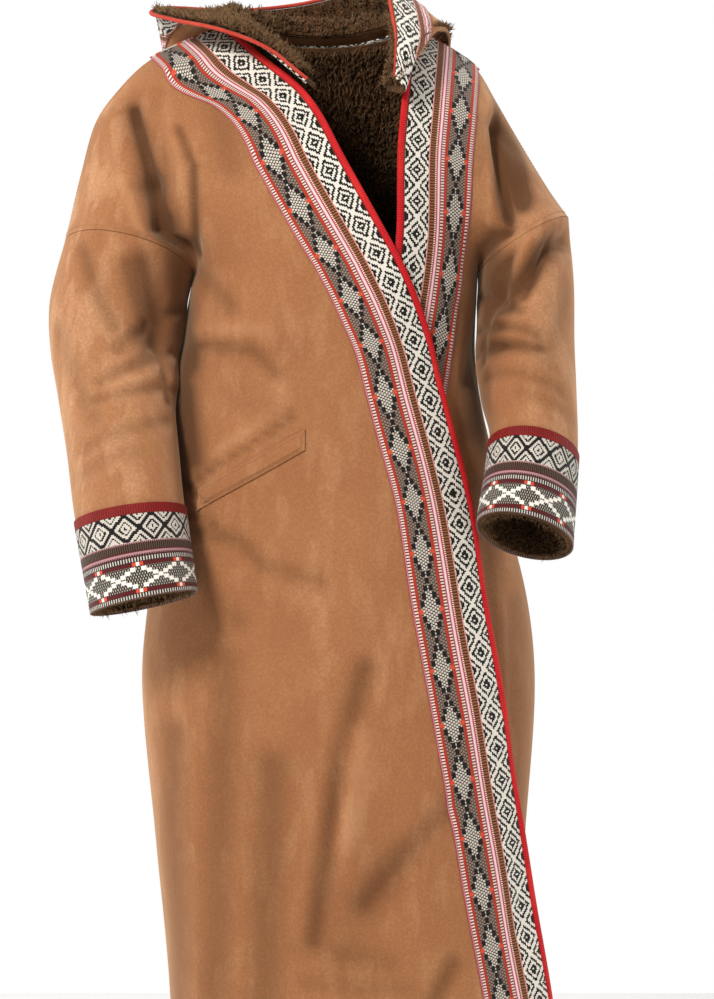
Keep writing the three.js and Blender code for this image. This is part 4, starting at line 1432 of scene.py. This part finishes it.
# the hood, its fur, its trim on the outside and the piping along its rim
def buildHood():
    hoodRun = runs(hoodPlain.at(hoodU, 0.97))

    def along(a):
        return hoodCut["ends"] + (1 - 2 * hoodCut["ends"]) * a

    def below(distance):
        return lambda u: vBelowRim(u, distance)

    def seam(u):
        return 0 * u

    # one layer of the hood, from a line low on it to where it ends below the rim
    def layer(part, name, low, lift, a0=0.0, a1=1.0):
        high = below(hoodCut["belowRim"][part])

        def spots(a, b):
            u = along(a0 + (a1 - a0) * a)
            return u, low(u) + (high(u) - low(u)) * b

        def place(a, b):
            u, v = spots(a, b)
            down = [np.interp(x, legV[::-1], run[::-1]) for x, run in zip(v, legRuns[nearestRun(u)])]
            return hoodCloth.lifted(u, v, lift), np.stack([np.array(down) - pipingWidth,
                                                           np.interp(u, hoodU, hoodRun)], -1)

        return weaveOver(name, hoodCloth, *hoodCut["meshes"][part], spots, place)

    hood = layer("hood", "hood", seam, 0)
    piece(thicken(hood, wall, "suede", "fur", "fur"), ["hood"])
    lining = layer("lining", "hood_lining", seam, -wall - hoodCut["liningGap"], *hoodCut["liningSides"])
    piece(thicken(lining, hoodCut["liningThick"], "fur"), ["hood_lining"])
    trim = layer("trim", "hood_trim", below(hoodCut["trimWidth"]), seamGap + trimThick)
    piece(thicken(trim, trimThick, "wovenTrim"), ["hood_trim"])

    cut = hoodPipingCut

    def around(a, b):
        u, turn = along(b), 2 * math.pi * a
        v = np.minimum(vBelowRimAt(u, cut["width"] / 2 * (1 - np.cos(turn))), 1)
        lift = cut["bulge"] * np.sin(turn) - cut["drop"]
        return hoodCloth.lifted(u, v, lift), np.stack([a * cut["girth"], np.interp(u, hoodU, hoodRun)], -1)

    piping = weave("piping_hood", *hoodCut["meshes"]["piping"], around, closed=True)
    piping.data.materials.append(materials["hoodPiping"])
    piece(piping, ["piping_hood"])

    locks = hoodFurCut
    u = along(locks["ends"] + (1 - 2 * locks["ends"]) * rng.random(locks["locks"]))
    v = vBelowRim(u, hoodCut["belowRim"]["lining"]) * rng.random(locks["locks"]) ** locks["gather"]
    pelt = strands("hood_fur", hoodCloth.lifted(u, v, -wall - locks["root"]), -hoodCloth.normal(u, v),
                   upAlong(hoodCloth, u, v) * locks["lean"], locks["length"], locks["thick"])
    return hood, lining, trim, piping, pelt


# locks of fur: bent cones over given roots, leaning the given way
lockShape = {
    "sides": 3,
    "taper": 0.7,  # thickness half way up
    "lean": 0.5,
    "tousle": 0.45,
    "bend": 0.5,
    "sag": 0.3,
    "least": 0.7,  # sizes run from this to this and "range" more
    "range": 0.6,
}


def strands(name, roots, normals, lean, length, thick):
    lock = lockShape
    count = len(roots)
    bm = bmesh.new()
    for low, high, middle in ((1, lock["taper"], 0.25), (lock["taper"], 0, 0.75)):
        cone = bmesh.ops.create_cone(bm, segments=lock["sides"], radius1=low, radius2=high, depth=0.5)
        bmesh.ops.translate(bm, verts=cone["verts"], vec=(0, 0, middle))
    bmesh.ops.remove_doubles(bm, verts=bm.verts, dist=1e-5)
    obj, shape = copies(name, bm, count)
    axis = unit(normals + lean * (lock["lean"] + rng.random((count, 1)))
                + lock["tousle"] * rng.normal(size=(count, 3)))
    bend = lock["bend"] * rng.normal(size=(count, 3)) + lean * lock["sag"]
    sideways = unit(np.cross(axis, rng.normal(size=(count, 3))))
    other = np.cross(axis, sideways)
    size, width = (whole * (lock["least"] + lock["range"] * rng.random((count, 1, 1)))
                   for whole in (length, thick))
    tint = rng.random(count)
    x, y, z = (shape[None, :, k:k + 1] for k in range(3))
    points = (roots[:, None] + axis[:, None] * z * size + bend[:, None] * z * z * size * 0.5
              + (sideways[:, None] * x + other[:, None] * y) * width)
    return piece(layCopies(obj, points, "furStrand", lambda loops: np.stack(
        [tint[loops // len(shape)], shape[loops % len(shape), 2]], -1)))


# short threads along a line of points, lying over the cloth
def stitches(name, points, normals, pitch=4.2, stitch=2.9, thick=0.5):
    run = runs(points)
    at = np.arange(pitch, run[-1] - pitch / 2, pitch)
    centre, up, ahead = (np.stack([np.interp(at + step, run, a[:, k]) for k in range(3)], -1)
                         for a, step in ((points, 0), (normals, 0), (points, 1)))
    forward, up = unit(ahead - centre), unit(up)
    across = np.cross(up, forward)
    bm = bmesh.new()
    bmesh.ops.create_cube(bm, size=1)
    bmesh.ops.bevel(bm, geom=bm.edges[:], offset=0.2, segments=1, profile=0.5, affect="EDGES", material=-1)
    obj, shape = copies(name, bm, len(at))
    x, y, z = (shape[None, :, k:k + 1] for k in range(3))
    placed = (centre[:, None] + forward[:, None] * x * stitch + across[:, None] * y * thick
              + up[:, None] * z * thick)
    return piece(layCopies(obj, placed, "thread"))


def seamStitches(name, cloth, u, v, lift=0.25):
    u, v = np.broadcast_arrays(u, v)
    return stitches(name, cloth.lifted(u, v, lift), cloth.normal(u, v))


# where a place seen from the front lies on the right front's skirt
def onRightFront(x, z):
    row = rowAt(bodySections, "z", z)
    edge = shareOf(rowAt(rightEdge, "z", z)["x"], row["right"], row["lap"])
    return 1 - shareOf(x, row["right"], row["lap"]) / edge, (z - hemZ) / (underarmZ - hemZ)


# the slanting welt of the pocket, with its four lines of stitches
weltCut = {
    "corner": (-171, -556),
    "across": 134,
    "rise": 75,
    "deep": 26,
    "columns": 90,
    "rows": 26,
    "lift": 2.2,
    "puff": 2.6,
    "groove": 1.1,  # pressed in along the stitches
    "inset": 4,
    "stitchRows": (0.15, 0.85),
    "stitchLift": 4.0,
    "stitch": (3.6, 2.5, 0.6),
}


def buildWelt():
    cut = weltCut
    across, deep, inset = cut["across"], cut["deep"], cut["inset"] / cut["across"]

    def spots(a, b):
        return onRightFront(cut["corner"][0] + across * a, cut["corner"][1] + cut["rise"] * a - deep * (1 - b))

    def place(a, b):
        rim = np.minimum(np.minimum(a, 1 - a) * across, np.minimum(b, 1 - b) * deep)
        groove = cut["groove"] * np.exp(-(((rim - cut["inset"]) / 1.1) ** 2))
        lift = cut["lift"] + cut["puff"] * smooth(rim / 6) - groove
        return rightCloth.lifted(*spots(a, b), lift), np.stack([a * across, b * deep], -1)

    welt = weaveOver("pocket_welt_right", rightCloth, cut["columns"], cut["rows"], spots, place)
    piece(thicken(welt, 2, "suede"), ["pocket_welt_right"])
    k = np.linspace(0, 1, 40)
    low, high = cut["stitchRows"]
    lines = [(inset + (1 - 2 * inset) * k, 0 * k + b) for b in (low, high)]
    lines += [(0 * k + a, low + (high - low) * k) for a in (inset, 1 - inset)]
    threads = []
    for n, line in enumerate(lines):
        u, v = spots(*line)
        threads.append(stitches(f"welt_stitches_{n}", rightCloth.lifted(u, v, cut["stitchLift"]),
                                rightCloth.normal(u, v), *cut["stitch"]))
    return welt, threads


# the fur of the back seen through the neck
neckFurCut = {
    "locks": 9000,
    "beside": 0.06,  # beyond the neck on each side, as a share of the back's width
    "from": 1.25,  # up the back, in v
    "rise": 0.72,
    "root": 0.3,
    "fall": 0.8,
    "length": 9.5,
    "thick": 1.4,
}


def buildNeckFur():
    cut = neckFurCut
    u = neckStart - cut["beside"] + (neckEnd - neckStart + 2 * cut["beside"]) * rng.random(cut["locks"])
    v = cut["from"] + cut["rise"] * rng.random(cut["locks"])
    inward = -backCloth.normal(u, v)
    return strands("neck_fur", backCloth.lifted(u, v, cut["root"] - wall), inward,
                   np.array([0, 0, -cut["fall"]]) + 0 * inward, cut["length"], cut["thick"])


rng = np.random.default_rng(11)
frontRight = buildFront("right", rightCloth, rightEdgeLine)
frontLeft = buildFront("left", leftCloth, leftEdgeLine)
back = buildBack()
print("body woven")
rightTrim = buildTrim("right", rightCloth, rightEdgeLine)
leftTrim = buildTrim("left", leftCloth, leftEdgeLine)
neckTrim = buildNeckTrim()
print("trims woven")
rightArm = buildSleeve("right", rightSleeve)
leftArm = buildSleeve("left", leftSleeve)
print("sleeves woven")
hood, hoodLining, hoodTrim, hoodPiping, hoodFur = buildHood()
print("hood woven")
welt, weltThreads = buildWelt()

# the threads of the armholes' and shoulders' seams: first u, last u, first v, last v and count
seamLines = {
    "armhole_stitches_right": (rightCloth, 0.975, 0.975, 1.03, shoulderV - 0.01, 90),
    "armhole_stitches_left": (leftCloth, 0.975, 0.975, 1.03, shoulderV - 0.01, 90),
    "shoulder_stitches_right": (rightCloth, 0.4, 0.96, 1.985, 1.985, 60),
    "shoulder_stitches_left": (leftCloth, 0.45, 0.96, 1.985, 1.985, 60),
}
seams = [seamStitches(name, cloth, np.linspace(u0, u1, count), np.linspace(v0, v1, count))
         for name, (cloth, u0, u1, v0, v1, count) in seamLines.items()]
neckFur = buildNeckFur()
print("fur placed")


# each cloth's cut, in metres: width, length and area where it isn't a rectangle; hang does nothing with them
def hang(obj, width, length, area=None, rests_on=(), with_pieces=()):
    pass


hang(frontRight, 0.66, 1.45, 0.69, with_pieces=seams[0::2])
hang(frontLeft, 0.40, 1.45, 0.41, with_pieces=seams[1::2])
hang(back, 0.86, 1.46, 0.88, with_pieces=[neckFur])
hang(rightTrim[0], 0.10, 1.53, rests_on=frontRight, with_pieces=rightTrim[1:])
hang(leftTrim[0], 0.10, 1.45, rests_on=frontLeft, with_pieces=leftTrim[1:])
hang(neckTrim, 0.10, 0.42, 0.027, rests_on=back)
for arm, girth, length, cuffRound in ((rightArm, 0.51, 0.46, 0.41), (leftArm, 0.48, 0.42, 0.38)):
    sleeve, strip, cuff, lining, pelt = arm
    hang(sleeve, girth, length)
    hang(strip, cuffRound, 0.015, rests_on=sleeve)
    hang(cuff, cuffRound, 0.105, rests_on=sleeve)
    hang(lining, 0.38, 0.078, rests_on=sleeve, with_pieces=[pelt])
hang(hood, 0.90, 0.34, 0.27)
hang(hoodLining, 0.86, 0.33, 0.26, rests_on=hood, with_pieces=[hoodFur])
hang(hoodTrim, 0.75, 0.06, rests_on=hood, with_pieces=[hoodPiping])
hang(welt, 0.155, 0.029, rests_on=frontRight, with_pieces=weltThreads)

# a pale floor, soft lights and the camera; the lights' rows are place, size, power and tint
studio = {
    "floor": (5200, 5100, -3000, -1487),  # width, depth, nearest y and height, in millimetres
    "floorTints": ("F1F0EE", "F6F5F4"),
    "lights": {
        "key": ((-2.0, -3.1, 1.9), (0.9, 1.1), 200, (1, 0.98, 0.95)),
        "fill": ((3.2, -2.4, 0.2), (1.6, 2.6), 30, (1, 1, 1)),
        "sideLeft": ((-3.2, 1.2, 0.2), (1.0, 2.6), 62, (1, 1, 1)),
        "sideRight": ((3.2, 1.2, 0.2), (1.0, 2.6), 58, (1, 1, 1)),
        "top": ((0.3, 0.4, 3.0), (2.4, 2.4), 60, (1, 1, 1)),
    },
    "aim": {"top": (0, 0, -0.4)},
    "middle": (0, 0, -0.6),  # where the other lights aim
    "skyLight": 0.3,  # the white round about is softer as a light than to the eye
    "lens": 129.7,
    "cameraPlace": (0.027, -4.6, -0.568),
}


def buildFloor():
    wide, deep, near, height = studio["floor"]

    def place(a, b):
        return np.stack([(a - 0.5) * wide, near + deep * b, height + 0 * a], -1), np.stack([a, b], -1)

    floor = weave("floor", 2, 2, place)
    tree, shader = newMaterial("floor", 0.9)
    fine = mottled(tree)["fine"]
    finishMaterial(tree, shader, mixed(fine, *studio["floorTints"]), fine, 0.0002, 0.1)
    floor.data.materials.append(materials["floor"])


def softLight(name, place, size, power, tint):
    data = bpy.data.lights.new(name, "AREA")
    data.shape = "RECTANGLE"
    data.size, data.size_y = size
    data.energy = power
    data.color = tint
    light = bpy.data.objects.new(name, data)
    light.location = place
    x, y, z = np.array(studio["aim"].get(name, studio["middle"]), float) - np.array(place, float)
    light.rotation_euler = (math.atan2(math.hypot(x, y), -z), 0, math.atan2(x, -y) + math.pi)
    bpy.context.scene.collection.objects.link(light)


buildFloor()
for name, light in studio["lights"].items():
    softLight(name, *light)

world = bpy.data.worlds.new("studio")
bpy.context.scene.world = world
world.use_nodes = True
worldTree = world.node_tree
background = worldTree.nodes["Background"]
background.inputs[0].default_value = (1, 1, 1, 1)
seen = Wire(worldTree, worldTree.nodes.new("ShaderNodeLightPath").outputs["Is Camera Ray"])
brightness = seen * (1 - studio["skyLight"]) + studio["skyLight"]
worldTree.links.new(brightness.socket, background.inputs[1])

camera = bpy.data.objects.new("camera", bpy.data.cameras.new("camera"))
camera.data.lens = studio["lens"]
camera.data.sensor_width = 36
camera.data.clip_end = 60
camera.location = studio["cameraPlace"]
camera.rotation_euler = (math.pi / 2, 0, 0)
bpy.context.scene.collection.objects.link(camera)
bpy.context.scene.camera = camera
bpy.context.scene.view_settings.view_transform = "Standard"
print("studio ready")
